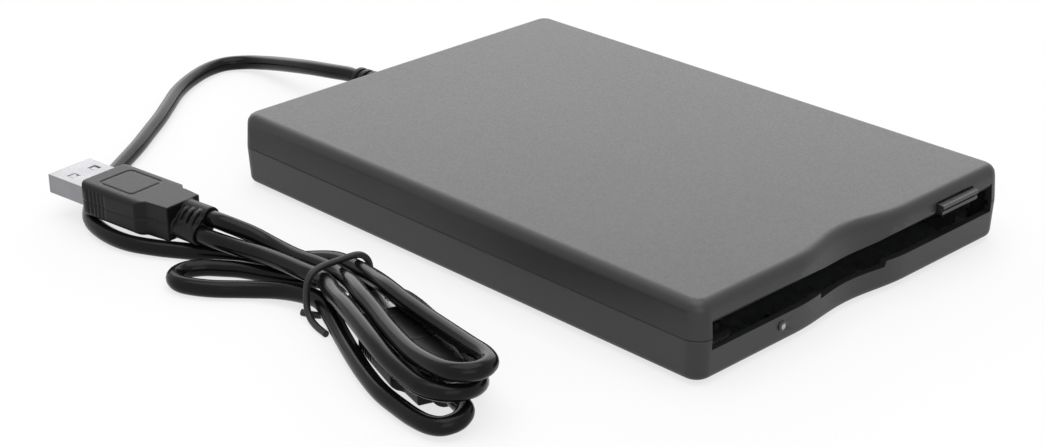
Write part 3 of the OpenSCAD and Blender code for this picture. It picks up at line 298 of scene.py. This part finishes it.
def rolled_metal(name, colour, roughness=0.3, streak=(0.25, 4.0, 0.25), bump=0.06):
    """Rolled, plated or turned metal: streaks along the working direction in gloss and tone."""
    material, tree = blank(name)
    place = add_node(tree, "ShaderNodeTexCoord").outputs["Object"]
    along = add_node(tree, "ShaderNodeMapping", {"Vector": place, "Scale": [1 / (s * MM) for s in streak]})
    lines = add_node(tree, "ShaderNodeTexNoise", {"Vector": along.outputs["Vector"], "Scale": 1.0, "Detail": 2.0})
    spots = add_node(tree, "ShaderNodeTexNoise", {"Vector": place, "Scale": 1 / (6 * MM), "Detail": 5.0})
    ramp = add_node(tree, "ShaderNodeValToRGB", {"Fac": spots.outputs["Fac"]})
    ramp.color_ramp.elements[0].position = 0.3
    ramp.color_ramp.elements[1].position = 0.7
    ramp.color_ramp.elements[0].color = shade_of(colour, 0.9)
    ramp.color_ramp.elements[1].color = shade_of(colour, 1.05)
    gloss = add_node(tree, "ShaderNodeMapRange", {"Value": lines.outputs["Fac"], "From Min": 0.3, "From Max": 0.7,
                                                  "To Min": roughness - 0.06, "To Max": roughness + 0.1})
    relief = add_node(tree, "ShaderNodeBump", {
        "Height": lines.outputs["Fac"], "Strength": bump, "Distance": 0.02 * MM})
    surface = add_node(tree, "ShaderNodeBsdfPrincipled", {
        "Base Color": ramp.outputs["Color"], "Roughness": gloss.outputs["Result"], "Metallic": 1.0,
        "Normal": relief.outputs["Normal"]})
    return finished(material, tree, surface.outputs["BSDF"])


def soft_jacket(name, colour, roughness=0.3, bump=0.12, specular=0.4):
    """Extruded or overmoulded PVC: smooth and half glossy, with slow waves from the die."""
    material, tree = blank(name)
    place = add_node(tree, "ShaderNodeTexCoord").outputs["Object"]
    waves = add_node(tree, "ShaderNodeTexNoise", {"Vector": place, "Scale": 1 / (3.5 * MM), "Detail": 2.0})
    dust = add_node(tree, "ShaderNodeTexNoise", {"Vector": place, "Scale": 1 / (0.3 * MM), "Detail": 3.0})
    ramp = add_node(tree, "ShaderNodeValToRGB", {"Fac": waves.outputs["Fac"]})
    ramp.color_ramp.elements[0].color = shade_of(colour, 0.85)
    ramp.color_ramp.elements[1].color = shade_of(colour, 1.15)
    gloss = add_node(tree, "ShaderNodeMapRange", {"Value": dust.outputs["Fac"], "From Min": 0.3, "From Max": 0.7,
                                                  "To Min": roughness - 0.04, "To Max": roughness + 0.08})
    relief = add_node(tree, "ShaderNodeBump", {
        "Height": waves.outputs["Fac"], "Strength": bump, "Distance": 0.08 * MM})
    surface = add_node(tree, "ShaderNodeBsdfPrincipled", {
        "Base Color": ramp.outputs["Color"], "Roughness": gloss.outputs["Result"],
        "Normal": relief.outputs["Normal"], "IOR": 1.52, "Specular IOR Level": specular})
    return finished(material, tree, surface.outputs["BSDF"])


def masked_board(name, colour, trace):
    """Glass-epoxy circuit board: solder mask over copper tracks, seen as paler lines 0.6 mm apart."""
    material, tree = blank(name)
    place = add_node(tree, "ShaderNodeTexCoord").outputs["Object"]
    turn = add_node(tree, "ShaderNodeMapping", {"Vector": place, "Scale": [1 / (0.6 * MM)] * 3})
    tracks = add_node(tree, "ShaderNodeTexBrick", {
        "Vector": turn.outputs["Vector"], "Color1": (0, 0, 0, 1), "Color2": (0.25, 0.25, 0.25, 1),
        "Mortar": (1, 1, 1, 1), "Scale": 0.5, "Mortar Size": 0.12, "Brick Width": 6.0, "Row Height": 1.0})
    bend = add_node(tree, "ShaderNodeTexNoise", {"Vector": place, "Scale": 1 / (9 * MM), "Detail": 1.0})
    keep = add_node(tree, "ShaderNodeMath", {0: tracks.outputs["Fac"], 1: bend.outputs["Fac"]},
                    operation="MULTIPLY")
    ramp = add_node(tree, "ShaderNodeValToRGB", {"Fac": keep.outputs["Value"]})
    ramp.color_ramp.elements[0].color = colour
    ramp.color_ramp.elements[1].color = trace
    relief = add_node(tree, "ShaderNodeBump", {
        "Height": keep.outputs["Value"], "Strength": 0.3, "Distance": 0.04 * MM})
    surface = add_node(tree, "ShaderNodeBsdfPrincipled", {
        "Base Color": ramp.outputs["Color"], "Roughness": 0.28, "Normal": relief.outputs["Normal"], "IOR": 1.55})
    return finished(material, tree, surface.outputs["BSDF"])


def wound_copper(name, colour):
    """Enamelled copper wire of 0.2 mm, wound in rings: lines with a warm varnish gloss."""
    material, tree = blank(name)
    place = add_node(tree, "ShaderNodeTexCoord").outputs["Object"]
    strands = add_node(tree, "ShaderNodeTexWave", {"Vector": place, "Scale": 1 / (2.2 * MM), "Distortion": 1.5,
                                                   "Detail": 1.0}, wave_type="RINGS", rings_direction="Z")
    ramp = add_node(tree, "ShaderNodeValToRGB", {"Fac": strands.outputs["Fac"]})
    ramp.color_ramp.elements[0].color = shade_of(colour, 0.4)
    ramp.color_ramp.elements[1].color = colour
    relief = add_node(tree, "ShaderNodeBump", {
        "Height": strands.outputs["Fac"], "Strength": 0.6, "Distance": 0.1 * MM})
    surface = add_node(tree, "ShaderNodeBsdfPrincipled", {
        "Base Color": ramp.outputs["Color"], "Roughness": 0.25, "Metallic": 0.7,
        "Normal": relief.outputs["Normal"]})
    return finished(material, tree, surface.outputs["BSDF"])


def lens_with_painted_highlight(name, painted_highlight, rim, centre, radius):
    """Clear polycarbonate light pipe: glossy, with a painted highlight as a pale spot in its middle, dark round
    that.
    """
    material, tree = blank(name)
    place = add_node(tree, "ShaderNodeTexCoord").outputs["Object"]
    flat = add_node(tree, "ShaderNodeMapping", {
        "Vector": place, "Location": (-centre[0] / radius, 0, -centre[2] / radius),
        "Scale": (1 / radius, 0, 1 / radius)})
    out = add_node(tree, "ShaderNodeVectorMath", {0: flat.outputs["Vector"]}, operation="LENGTH")
    ramp = add_node(tree, "ShaderNodeValToRGB", {"Fac": out.outputs["Value"]})
    ramp.color_ramp.elements[0].position = 0.45
    ramp.color_ramp.elements[1].position = 0.62
    ramp.color_ramp.elements[0].color = painted_highlight
    ramp.color_ramp.elements[1].color = rim
    surface = add_node(tree, "ShaderNodeBsdfPrincipled", {
        "Base Color": ramp.outputs["Color"], "Roughness": 0.12, "IOR": 1.58, "Transmission Weight": 0.1})
    return finished(material, tree, surface.outputs["BSDF"])


MATERIALS = {}


def make_materials():
    case = bpy.context.scene.floppy_case
    cord = bpy.context.scene.floppy_cord
    low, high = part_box("led_lens")
    lens_centre = [(a + b) / 2 for a, b in zip(low, high)]
    MATERIALS.update({
        # Etched mould texture: pits of half a millimetre, drawn as coarse as they show here
        "case": etched_plastic("moulded_black_abs", tuple(case.shell_colour), case.grain, specular=0.44),
        # The button is the same ABS from a polished mould, so it is smoother
        "button": etched_plastic("polished_black_abs", linear("#1f1f20"), 0.6 * MM, 0.3, 0.04, 0.06),
        # Rubber feet: dull, with a coarse cut face
        "rubber": etched_plastic("pressed_black_rubber", linear("#1b1b1c"), 0.7 * MM, 0.78, 0.3, 0.12, 0.3),
        # Flexible PVC is glossier than the case and shows slow waves
        "jacket": soft_jacket("extruded_black_pvc", tuple(cord.jacket_colour), 0.17, 0.06, 0.13),
        "grip": soft_jacket("overmoulded_black_pvc", shade_of(tuple(cord.jacket_colour), 1.2), 0.36, 0.18, 0.17),
        "tie": soft_jacket("coated_tie_wire", linear("#1a1a1b"), 0.5, 0.3),
        # Tin-plated steel of a plug shell: bright, with fine drawing lines
        "shell": rolled_metal("tin_plated_steel", linear("#8c8c8f"), 0.32, (0.3, 0.3, 3.0), 0.03),
        "sheet": rolled_metal("zinc_coated_sheet", linear("#c3c5c7"), 0.32),
        "screw": rolled_metal("zinc_plated_screw", linear("#b4b6b9"), 0.28, (0.4, 0.4, 0.4)),
        "ground": rolled_metal("ground_steel_rod", linear("#cfd0d2"), 0.14, (0.2, 0.2, 0.2), 0.03),
        "can": rolled_metal("nickel_plated_can", linear("#b9b7b1"), 0.24, (0.3, 3.0, 0.3)),
        "spring": rolled_metal("drawn_spring_wire", linear("#aeb0b3"), 0.24, (0.3, 0.3, 0.3)),
        "bronze": rolled_metal("sintered_bronze", linear("#b08d57"), 0.45, (0.3, 0.3, 0.3), 0.2),
        "gold": rolled_metal("gold_plated_contact", linear("#d8b468"), 0.22, (0.3, 0.3, 0.3)),
        "green": masked_board("green_solder_mask", linear("#14522f"), linear("#3f8a55")),
        "blue": masked_board("blue_solder_mask", linear("#12406b"), linear("#3f7aa8")),
        "coil": wound_copper("enamelled_copper_wire", linear("#c4783a")),
        "nylon": etched_plastic("ivory_nylon", linear("#d8d2c0"), 0.5 * MM, 0.45, 0.05, 0.05),
        # Black nylon, also put on the plungers and switch block as painted shade, since they lie in the shade
        # inside the slot
        "black_nylon": etched_plastic("black_nylon_and_painted_shade", linear("#242425"), 0.4 * MM, 0.5, 0.15, 0.1),
        "white": etched_plastic("white_plug_insulator", linear("#e6e4de"), 0.5 * MM, 0.4, 0.04, 0.03),
        "ferrite": etched_plastic("ground_ferrite_head", linear("#4a4846"), 0.3 * MM, 0.2, 0.05, 0.1),
        "chip": etched_plastic("black_chip_epoxy", linear("#1c1c1e"), 0.25 * MM, 0.55, 0.2, 0.05),
        "film": etched_plastic("polyester_ribbon", linear("#cfc7ad"), 1.5 * MM, 0.25, 0.05, 0.06),
        # The light pipe's pale middle is a painted highlight, round its centre
        "lens": lens_with_painted_highlight("clear_polycarbonate", linear("#b4b7b8"), linear("#161617"), lens_centre,
                            (high[2] - low[2]) / 2),
    })


# The finish of each material slot whose CAD nodes stay in view
SLOT_FINISH = {
    "screw_steel": "screw", "zinc_steel": "sheet", "green_board": "green", "blue_board": "blue",
    "copper_wire": "coil", "bronze": "bronze", "polished_steel": "ground", "black_nylon": "black_nylon",
    "ivory_nylon": "nylon", "motor_can": "can", "chip_epoxy": "chip", "ribbon_film": "film",
    # The plungers get black nylon as painted shade: they lie in the shade inside the slot
    "head_ceramic": "ferrite", "plunger_nylon": "black_nylon",
}


def coat(*node_names):
    """Puts the finish of its slot on each CAD node that stays in view."""
    for name in node_names:
        node_object = frame["nodes"][name]
        node_object.data.materials.clear()
        node_object.data.materials.append(MATERIALS[SLOT_FINISH[SLOT_OF[name]]])


# ---- The pieces ----

class FLOPPY_OT_case(bpy.types.Operator):
    """Case halves, feet, screws, light pipe and strain relief"""
    bl_idname = "floppy.case"
    bl_label = "Moulded Case"

    def execute(self, context):
        edge = context.scene.floppy_case.edge
        refine("top_cover", "cover_moulding", MATERIALS["case"], edge, 40)
        refine("bottom_shell", "base_moulding", MATERIALS["case"], edge, 40)
        refine("rubber_feet", "round_feet", MATERIALS["rubber"], 0.15 * MM)
        refine("led_lens", "light_pipe", MATERIALS["lens"], 0.1 * MM)
        refine("cable_gland", "strain_relief", MATERIALS["grip"], 0.22 * MM, 40, 3)
        coat("case_screws", "chassis_screws")
        return {"FINISHED"}


class FLOPPY_OT_eject_button(bpy.types.Operator):
    """Eject button with its finger ridges"""
    bl_idname = "floppy.eject_button"
    bl_label = "Eject Button"

    def execute(self, context):
        refine("eject_button", "ridged_button", MATERIALS["button"], 0.14 * MM, 35, 3)
        return {"FINISHED"}


class FLOPPY_OT_sheet_parts(bpy.types.Operator):
    """Pressed sheet parts and the coil springs of the eject slide"""
    bl_idname = "floppy.sheet_parts"
    bl_label = "Sheet Parts And Springs"

    def execute(self, context):
        coat("drive_chassis", "drive_cover", "slide_plate", "disk_carrier", "lever_rivet", "latch_lever")
        self.coil_springs(context.scene.floppy_cord.spring_turns)
        return {"FINISHED"}

    def coil_springs(self, turns):
        """Winds a wire through the space of each plain spring tube."""
        low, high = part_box("eject_springs")
        wire, steps, weld = 0.22 * MM, 16, 0.002 * MM
        radius = (high[2] - low[2]) / 2 - wire
        centre_z = (high[2] + low[2]) / 2
        made = []
        for side, x in (("left", low[0] + radius + wire), ("right", high[0] - radius - wire)):
            line = []
            for k in range(turns * steps + 1):
                a = 2 * math.pi * k / steps
                y = low[1] + wire + (high[1] - low[1] - 2 * wire) * k / (turns * steps)
                line.append(Vector((x + radius * math.cos(a), y, centre_z + radius * math.sin(a))))
            spring = round_cord("eject_spring_" + side, line, wire, 2)
            take(spring)
            bpy.ops.object.convert(target="MESH")
            spring = bpy.context.object
            bpy.ops.object.mode_set(mode="EDIT")
            bpy.ops.mesh.select_all(action="SELECT")
            bpy.ops.mesh.remove_doubles(threshold=weld)
            bpy.ops.mesh.normals_make_consistent(inside=False)
            bpy.ops.object.mode_set(mode="OBJECT")
            dress(spring, MATERIALS["spring"], "eject_springs")
            made.append(spring)
        for spring in made:
            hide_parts("eject_springs")


class FLOPPY_OT_spindle(bpy.types.Operator):
    """Spindle motor and the table that carries the disk"""
    bl_idname = "floppy.spindle"
    bl_label = "Spindle Motor"

    def execute(self, context):
        coat("stator_board", "stator_coils", "spindle_bearing")
        refine("spindle_rotor", "turned_rotor", MATERIALS["can"], 0.1 * MM)
        refine("hub_table", "hub_table_plate", MATERIALS[SLOT_FINISH[SLOT_OF["hub_table"]]], 0.08 * MM)
        coat("drive_pin")
        return {"FINISHED"}


class FLOPPY_OT_head_drive(bpy.types.Operator):
    """Head carriage, arm, guide rod, lead screw and stepper"""
    bl_idname = "floppy.head_drive"
    bl_label = "Head Drive"

    def execute(self, context):
        coat("guide_rod", "rail_bracket", "stepper_motor", "arm_pin", "lower_head", "upper_head", "lead_screw",
             "upper_head_arm", "track_sensor")
        refine("head_carriage", "moulded_carriage", MATERIALS[SLOT_FINISH[SLOT_OF["head_carriage"]]], 0.12 * MM)
        return {"FINISHED"}


class FLOPPY_OT_boards(bpy.types.Operator):
    """Circuit boards, switches, connector and ribbon"""
    bl_idname = "floppy.boards"
    bl_label = "Boards And Switches"

    def execute(self, context):
        coat("drive_board", "switch_block", "usb_board", "usb_controller", "cord_connector", "ribbon_cable",
             "disk_switch_plunger", "density_switch_plunger", "protect_switch_plunger")
        # Black nylon on the switch block is painted shade: it lies in the shade inside the slot
        frame["nodes"]["switch_block"].data.materials[0] = MATERIALS["black_nylon"]
        return {"FINISHED"}


# Points of the cords' centre lines in millimetres, the same as in the part's source
DATA_ROUTE = [
    (-2, 84.15, 9.8), (-2, 86.65, 9.8), (-2, 90.15, 9.8), (-2.5, 97, 9), (-2.5, 105, 7.8), (-2, 113, 6.2),
    (-1.5, 120.5, 4.6), (-1.5, 127, 3.2), (-3, 132.5, 2.3), (-7.5, 136, 2), (-14, 135.5, 2), (-22, 132, 2),
    (-29, 127.5, 2),
    (-36, 121.5, 2), (-43, 115.5, 2), (-50, 110, 2), (-57, 104.5, 2), (-64, 99.5, 2), (-71, 94.5, 2), (-78, 89, 2),
    (-84.5, 83, 2), (-89.5, 76, 2), (-91.5, 68, 2), (-91, 60, 2), (-88, 53, 2), (-84, 46.5, 2), (-79.5, 40, 2),
    (-76, 33.5, 2), (-73, 26.5, 2.6), (-71, 20, 4.6), (-70.5, 12.5, 6.8), (-71.2, 5, 7.7), (-73, -2.5, 8.8),
    (-75.5, -10, 10), (-77.5, -18, 10.2), (-79, -26, 10.3), (-80.5, -34, 10.6), (-82.3, -42, 11.2),
    (-83.8, -47.4, 11.9), (-86.2, -51.2, 12.5), (-90, -52.3, 12.8), (-93, -49.6, 12.6), (-93.5, -44.6, 12),
    (-91.7, -35.5, 11), (-88, -25, 10.4), (-84.7, -17, 10.2), (-81.6, -9, 10), (-78.3, -2, 9.2), (-75.6, 5, 7.7),
    (-75, 12.5, 7.2), (-75.2, 20, 6.6), (-75.4, 27, 6.8), (-76.6, 33.4, 8)]
POWER_ROUTE = [
    (-80.8, 32.5, 6.4), (-79.7, 26, 6.6), (-79.4, 19, 7), (-79.5, 12, 7.4), (-79.9, 5, 7.9), (-83.3, -2.5, 8.6),
    (-86.3, -9.5, 9.5), (-89.5, -17.5, 9.8), (-92.3, -25, 9.6), (-94.6, -32.5, 9), (-95.9, -40, 8.5),
    (-96, -44.5, 8.4), (-94.3, -48.6, 8.4), (-90.6, -50.3, 8.3), (-86.4, -48.6, 7.4), (-82, -43.2, 5.4),
    (-77.4, -36.9, 3.6), (-73.8, -31, 2.4), (-71, -23.8, 2), (-68.6, -15.6, 2), (-66.8, -8, 2.2),
    (-66.9, -3.4, 2.6), (-69.2, 0.4, 3), (-71, 5, 3.4), (-72.8, 11.5, 3.1), (-75.8, 18, 2.3), (-78.5, 24.5, 2),
    (-81.5, 31, 2), (-84, 34.5, 2), (-86.7, 37.6, 2), (-90.2, 39.4, 2), (-93.6, 38.4, 2), (-94.9, 35.2, 2),
    (-93.9, 31.8, 2), (-91.2, 27.6, 2),
    (-86.6, 22.6, 2), (-83, 17, 2.5), (-81.2, 11, 3.1), (-80.9, 5, 3.4), (-83.2, -1.5, 2.6), (-86.3, -8.5, 2),
    (-89.8, -16, 2), (-93, -23.5, 2), (-95.6, -31, 2), (-97, -38.5, 2), (-97.6, -43, 2.1), (-97.6, -46.9, 2.3),
    (-96.5, -49.7, 2.7), (-93.7, -50.8, 3.2), (-91, -49.6, 3.8)]
# The tie's loop is the source's too, and its two tails lie as the photograph shows them
TIE_ROUTE = [
    (-86.4, -3.2, 0.9), (-85.6, 0.8, 0.9), (-84.6, 4.2, 1.5), (-84, 5.8, 4), (-83.4, 5.8, 8.6), (-81, 5.6, 10.6),
    (-75.5, 5.4, 10.8), (-70.2, 5.2, 10.4), (-67.8, 5, 8), (-67.7, 4.8, 4), (-68.4, 4.6, 1.6), (-71, 4.5, 0.8),
    (-76, 4.4, 0.7), (-81, 4.2, 0.7), (-82.6, 5.6, 0.75), (-83.7, 8, 0.85)]

# A plug's own frame has +Y out of its mouth and its origin on the front face of the grip
DATA_PLUG = Matrix.Translation(Vector((-85, 76.6, 8.05)) * MM) @ Matrix.Rotation(math.radians(6.5), 4, "Z")
POWER_PLUG = Matrix.Translation(Vector((-78.5, -13.9, 4)) * MM) @ Matrix.Rotation(math.radians(-19.3), 4, "Z")
# Where each tail ends on the plug's own Y, and how far a cord goes into it
DATA_TAIL, POWER_TAIL, SOCKET = -33.5, -31.0, 2.5
# X and Z of the two outlets in the data plug's tail: the data cord's, then the power cord's
DATA_OUTLETS = ((1.6, 1.4), (-1.6, -1.4))
# The outlined pad on top of a grip: half its size without the corners, its corner radius and its middle
PAD_HALF, PAD_CORNER, PAD_Y = (3.4, 4.2), 1.2, -9.4
# Depth and half width of the pad's outline, and of the parting groove at mid height
PAD_LINE, PARTING_LINE = (0.25, 0.4), (0.2, 0.3)
# Where on a grip these two lines run: above this height, and between these places along it on its sides
PAD_ABOVE, PARTING_FROM, PARTING_TO, SIDE_FROM = 3.4, -26, -0.6, 4


def in_plug(plug, x, y, z):
    """A point of a plug's own frame, in millimetres, as a place in metres."""
    return plug @ (Vector((x, y, z)) * MM)


class FLOPPY_OT_plugs(bpy.types.Operator):
    """Both plugs: steel shell, insulator with gilt contacts and the overmoulded grip"""
    bl_idname = "floppy.plugs"
    bl_label = "Plugs"

    def execute(self, context):
        for name, plug in (("data", DATA_PLUG), ("power", POWER_PLUG)):
            self.soft_grip(name, plug)
            refine(name + "_plug_shell", name + "_plug_tin_shell", MATERIALS["shell"], 0.12 * MM, 35, 2)
            refine(name + "_plug_contacts", name + "_plug_insulator", MATERIALS["white"], 0.06 * MM, 35, 1)
            self.gilt_contacts(name, plug)
            self.window_leaves(name, plug)
        return {"FINISHED"}

    def placed(self, piece, plug, node_name, material):
        """Takes a piece from the plug's own frame to its place, and finishes it."""
        piece.data.transform(plug)
        dress(piece, material, node_name)

    def gilt_contacts(self, name, plug):
        """Four gilt strips in the insulator's grooves."""
        strips = [block("strip", (0.9, 9.0, 0.2), (x, 5.9, -0.28), 0.06, 1) for x in (-3.5, -1, 1, 3.5)]
        piece = join_pieces(strips, name + "_plug_gilt_strips")
        self.placed(piece, plug, name + "_plug_contacts", MATERIALS["gold"])

    def window_leaves(self, name, plug):
        """Sprung leaves in the two windows on top of the shell, each held at its front end."""
        leaves = [block("leaf", (1.5, 1.7, 0.2), (x, 6.75, 1.93), 0.06, 1) for x in (-3, 3)]
        piece = join_pieces(leaves, name + "_plug_leaves")
        self.placed(piece, plug, name + "_plug_shell", MATERIALS["shell"])

    def soft_grip(self, name, plug):
        """The overmoulded grip: edges as soft as the mould leaves them, parting groove, outlined pad on top."""
        piece = refine(name + "_plug_body", name + "_plug_grip", MATERIALS["grip"], 0.1 * MM, 32, 1)
        finish_with(piece, "REMESH", mode="VOXEL", voxel_size=0.2 * MM, use_smooth_shade=True)
        finish_with(piece, "SMOOTH", factor=0.5, iterations=4)
        inward = plug.inverted()
        for vertex in piece.data.vertices:
            place = [c / MM for c in inward @ vertex.co]
            depth = self.pad_line(*place) if place[2] > PAD_ABOVE else self.parting_line(*place)
            if depth:
                vertex.co -= vertex.normal * depth * MM
        finish_with(piece, "SMOOTH", factor=0.4, iterations=1)
        dress(piece, MATERIALS["grip"], name + "_plug_body")

    def parting_line(self, x, y, z):
        """Depth of the groove where the mould's halves meet."""
        if not PARTING_FROM < y < PARTING_TO or abs(x) <= SIDE_FROM:
            return 0
        depth, half = PARTING_LINE
        return depth * max(0, 1 - abs(z) / half)

    def pad_line(self, x, y, z):
        """Depth of the pad's outline, from a point's distance to a rounded rectangle."""
        past_x, past_y = abs(x) - PAD_HALF[0], abs(y - PAD_Y) - PAD_HALF[1]
        outside = math.hypot(max(past_x, 0), max(past_y, 0))
        inside = min(max(past_x, past_y), 0)
        depth, half = PAD_LINE
        return depth * max(0, 1 - abs(outside + inside - PAD_CORNER) / half)


class FLOPPY_OT_cords(bpy.types.Operator):
    """Both cords and the tie wire"""
    bl_idname = "floppy.cords"
    bl_label = "Cords And Tie"

    def execute(self, context):
        settings = context.scene.floppy_cord
        radius = settings.diameter / 2
        (data_x, data_z), (power_x, power_z) = DATA_OUTLETS
        data_points = self.metres(DATA_ROUTE) + [
            in_plug(DATA_PLUG, data_x, y, data_z) for y in (DATA_TAIL - 4, DATA_TAIL - 0.5, DATA_TAIL + SOCKET)]
        power_points = [
            in_plug(DATA_PLUG, power_x, y, power_z) for y in (DATA_TAIL + SOCKET, DATA_TAIL - 0.5, DATA_TAIL - 4)]
        power_points += self.metres(POWER_ROUTE) + [
            in_plug(POWER_PLUG, 0, y, 0) for y in (POWER_TAIL - 3, POWER_TAIL - 0.5, POWER_TAIL + SOCKET)]
        data_line = smooth_route(data_points, 6)
        power_line = smooth_route(power_points, 6)

        data = round_cord("data_cord_jacket", data_line, radius)
        dress(data, MATERIALS["jacket"], "data_cord")
        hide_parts("data_cord", "data_hank")
        power = round_cord("power_cord_jacket", power_line, radius)
        dress(power, MATERIALS["jacket"], "power_hank")
        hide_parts("power_hank")
        tie = round_cord("coated_tie", smooth_route(self.metres(TIE_ROUTE), 6), settings.tie_diameter / 2, 4)
        dress(tie, MATERIALS["tie"], "cord_tie")
        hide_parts("cord_tie")

        return {"FINISHED"}

    def metres(self, points):
        """A route's points as vectors in metres."""
        return [Vector(point) * MM for point in points]


# The camera stands where the photograph was taken from. Turn, rise and roll are in degrees, the lens in mm
CAMERA_AT = (-0.32274, -0.30601, 0.19914)
CAMERA_TURN, CAMERA_RISE, CAMERA_ROLL = -43.907, 24.493, -0.45
LENS, SENSOR = 73.46, 36


def direct_rays(tree):
    """1 for a ray that looks straight at a surface, in a mirror or through glass, and 0 for one that lights."""
    seen = add_node(tree, "ShaderNodeLightPath")
    direct = add_node(tree, "ShaderNodeMath", {
        0: seen.outputs["Is Camera Ray"], 1: seen.outputs["Is Glossy Ray"]}, operation="MAXIMUM")
    through = add_node(tree, "ShaderNodeMath", {
        0: direct.outputs["Value"], 1: seen.outputs["Is Transmission Ray"]}, operation="MAXIMUM")
    return through.outputs["Value"]


class FLOPPY_OT_stage(bpy.types.Operator):
    """Camera, soft studio light and the white floor"""
    bl_idname = "floppy.stage"
    bl_label = "Studio"

    def execute(self, context):
        self.camera(context)
        self.lights(context.scene.floppy_stage)
        self.floor(context.scene.floppy_stage)
        self.world(context)
        context.scene.view_settings.view_transform = "Standard"
        return {"FINISHED"}

    def camera(self, context):
        """Camera at the photograph's place and angle."""
        turn, rise, roll = (math.radians(angle) for angle in (CAMERA_TURN, CAMERA_RISE, CAMERA_ROLL))
        back = Vector((math.sin(turn) * math.cos(rise), -math.cos(turn) * math.cos(rise), math.sin(rise)))
        level = Vector((0, 0, 1)).cross(back).normalized()
        up = back.cross(level)
        right = math.cos(roll) * level + math.sin(roll) * up
        over = -math.sin(roll) * level + math.cos(roll) * up
        clear_selection()
        bpy.ops.object.camera_add(location=CAMERA_AT)
        camera = context.object
        camera.name = "photo_camera"
        camera.matrix_world = Matrix.Translation(CAMERA_AT) @ Matrix((right, over, back)).transposed().to_4x4()
        camera.data.sensor_width = SENSOR
        camera.data.sensor_fit = "HORIZONTAL"
        camera.data.lens = LENS
        camera.data.clip_start = 0.01
        context.scene.camera = camera

    def soft_box(self, name, at, size, power):
        """Area light that faces the middle of the drive."""
        clear_selection()
        bpy.ops.object.light_add(type="AREA", location=at)
        lamp = bpy.context.object
        lamp.name = name
        lamp.rotation_euler = (-Vector(at)).to_track_quat("-Z", "Y").to_euler()
        lamp.data.shape = "RECTANGLE"
        lamp.data.size, lamp.data.size_y = size
        lamp.data.energy = power

    def lights(self, stage):
        """Three soft boxes: behind, overhead and by the camera."""
        self.soft_box("back_soft_box", (0.55, 0.62, 0.42), (1.3, 0.7), stage.back_light)
        self.soft_box("top_soft_box", (-0.05, 0.0, 0.9), (0.9, 0.9), stage.top_light)
        self.soft_box("side_soft_box", (-0.5, -0.62, 0.4), (0.6, 0.5), stage.side_light)

    def floor(self, stage):
        """White floor that keeps the object's shadow."""
        clear_selection()
        bpy.ops.mesh.primitive_grid_add(x_subdivisions=4, y_subdivisions=4, size=8, location=(0, 0, 0))
        floor = settle(bpy.context.object, "white_floor")
        material, tree = blank("white_paper_floor")
        share = add_node(tree, "ShaderNodeMath", {0: direct_rays(tree), 1: stage.floor_white},
                         operation="MULTIPLY")
        paper = add_node(tree, "ShaderNodeBsdfDiffuse", {"Color": linear("#f4f4f4"), "Roughness": 0.4})
        white = add_node(tree, "ShaderNodeEmission", {"Color": (1, 1, 1, 1), "Strength": 1.0})
        mixed = add_node(tree, "ShaderNodeMixShader", {
            0: share.outputs["Value"], 1: paper.outputs["BSDF"], 2: white.outputs["Emission"]})
        add_node(tree, "ShaderNodeOutputMaterial", {"Surface": mixed.outputs["Shader"]})
        floor.data.materials.append(material)

    def world(self, context):
        """White to look at, and a plain level of light."""
        world = bpy.data.worlds.new("white_studio")
        world.use_nodes = True
        tree = world.node_tree
        tree.nodes.clear()
        ambient = add_node(tree, "ShaderNodeBackground", {"Color": (1, 1, 1, 1), "Strength": 0.45})
        white = add_node(tree, "ShaderNodeBackground", {"Color": (1, 1, 1, 1), "Strength": 1.0})
        mixed = add_node(tree, "ShaderNodeMixShader", {
            0: direct_rays(tree), 1: ambient.outputs["Background"], 2: white.outputs["Background"]})
        add_node(tree, "ShaderNodeOutputWorld", {"Surface": mixed.outputs["Shader"]})
        context.scene.world = world


OPERATORS = (FLOPPY_OT_stage, FLOPPY_OT_case, FLOPPY_OT_eject_button, FLOPPY_OT_sheet_parts, FLOPPY_OT_spindle,
             FLOPPY_OT_head_drive, FLOPPY_OT_boards, FLOPPY_OT_plugs, FLOPPY_OT_cords)


class FLOPPY_PT_panel(bpy.types.Panel):
    """Lists the pieces of the floppy drive"""
    bl_label = "Floppy Drive"
    bl_idname = "FLOPPY_PT_panel"
    bl_space_type = "VIEW_3D"
    bl_region_type = "UI"
    bl_category = "Floppy Drive"

    def draw(self, context):
        for title, settings in (("Case", context.scene.floppy_case), ("Cord", context.scene.floppy_cord),
                                ("Studio", context.scene.floppy_stage)):
            column = self.layout.column(heading=title)
            for key in type(settings).__annotations__:
                column.prop(settings, key)
        for operator in OPERATORS:
            self.layout.operator(operator.bl_idname)


CLASSES = (FloppyCaseSettings, FloppyCordSettings, FloppyStageSettings) + OPERATORS + (FLOPPY_PT_panel,)


def register():
    for made in CLASSES:
        bpy.utils.register_class(made)
    bpy.types.Scene.floppy_case = PointerProperty(type=FloppyCaseSettings)
    bpy.types.Scene.floppy_cord = PointerProperty(type=FloppyCordSettings)
    bpy.types.Scene.floppy_stage = PointerProperty(type=FloppyStageSettings)


def unregister():
    del bpy.types.Scene.floppy_stage
    del bpy.types.Scene.floppy_cord
    del bpy.types.Scene.floppy_case
    for made in reversed(CLASSES):
        bpy.utils.unregister_class(made)


def main():
    register()
    make_materials()
    for operator in OPERATORS:
        group, name = operator.bl_idname.split(".")
        getattr(getattr(bpy.ops, group), name)()


if __name__ == "__main__":
    main()
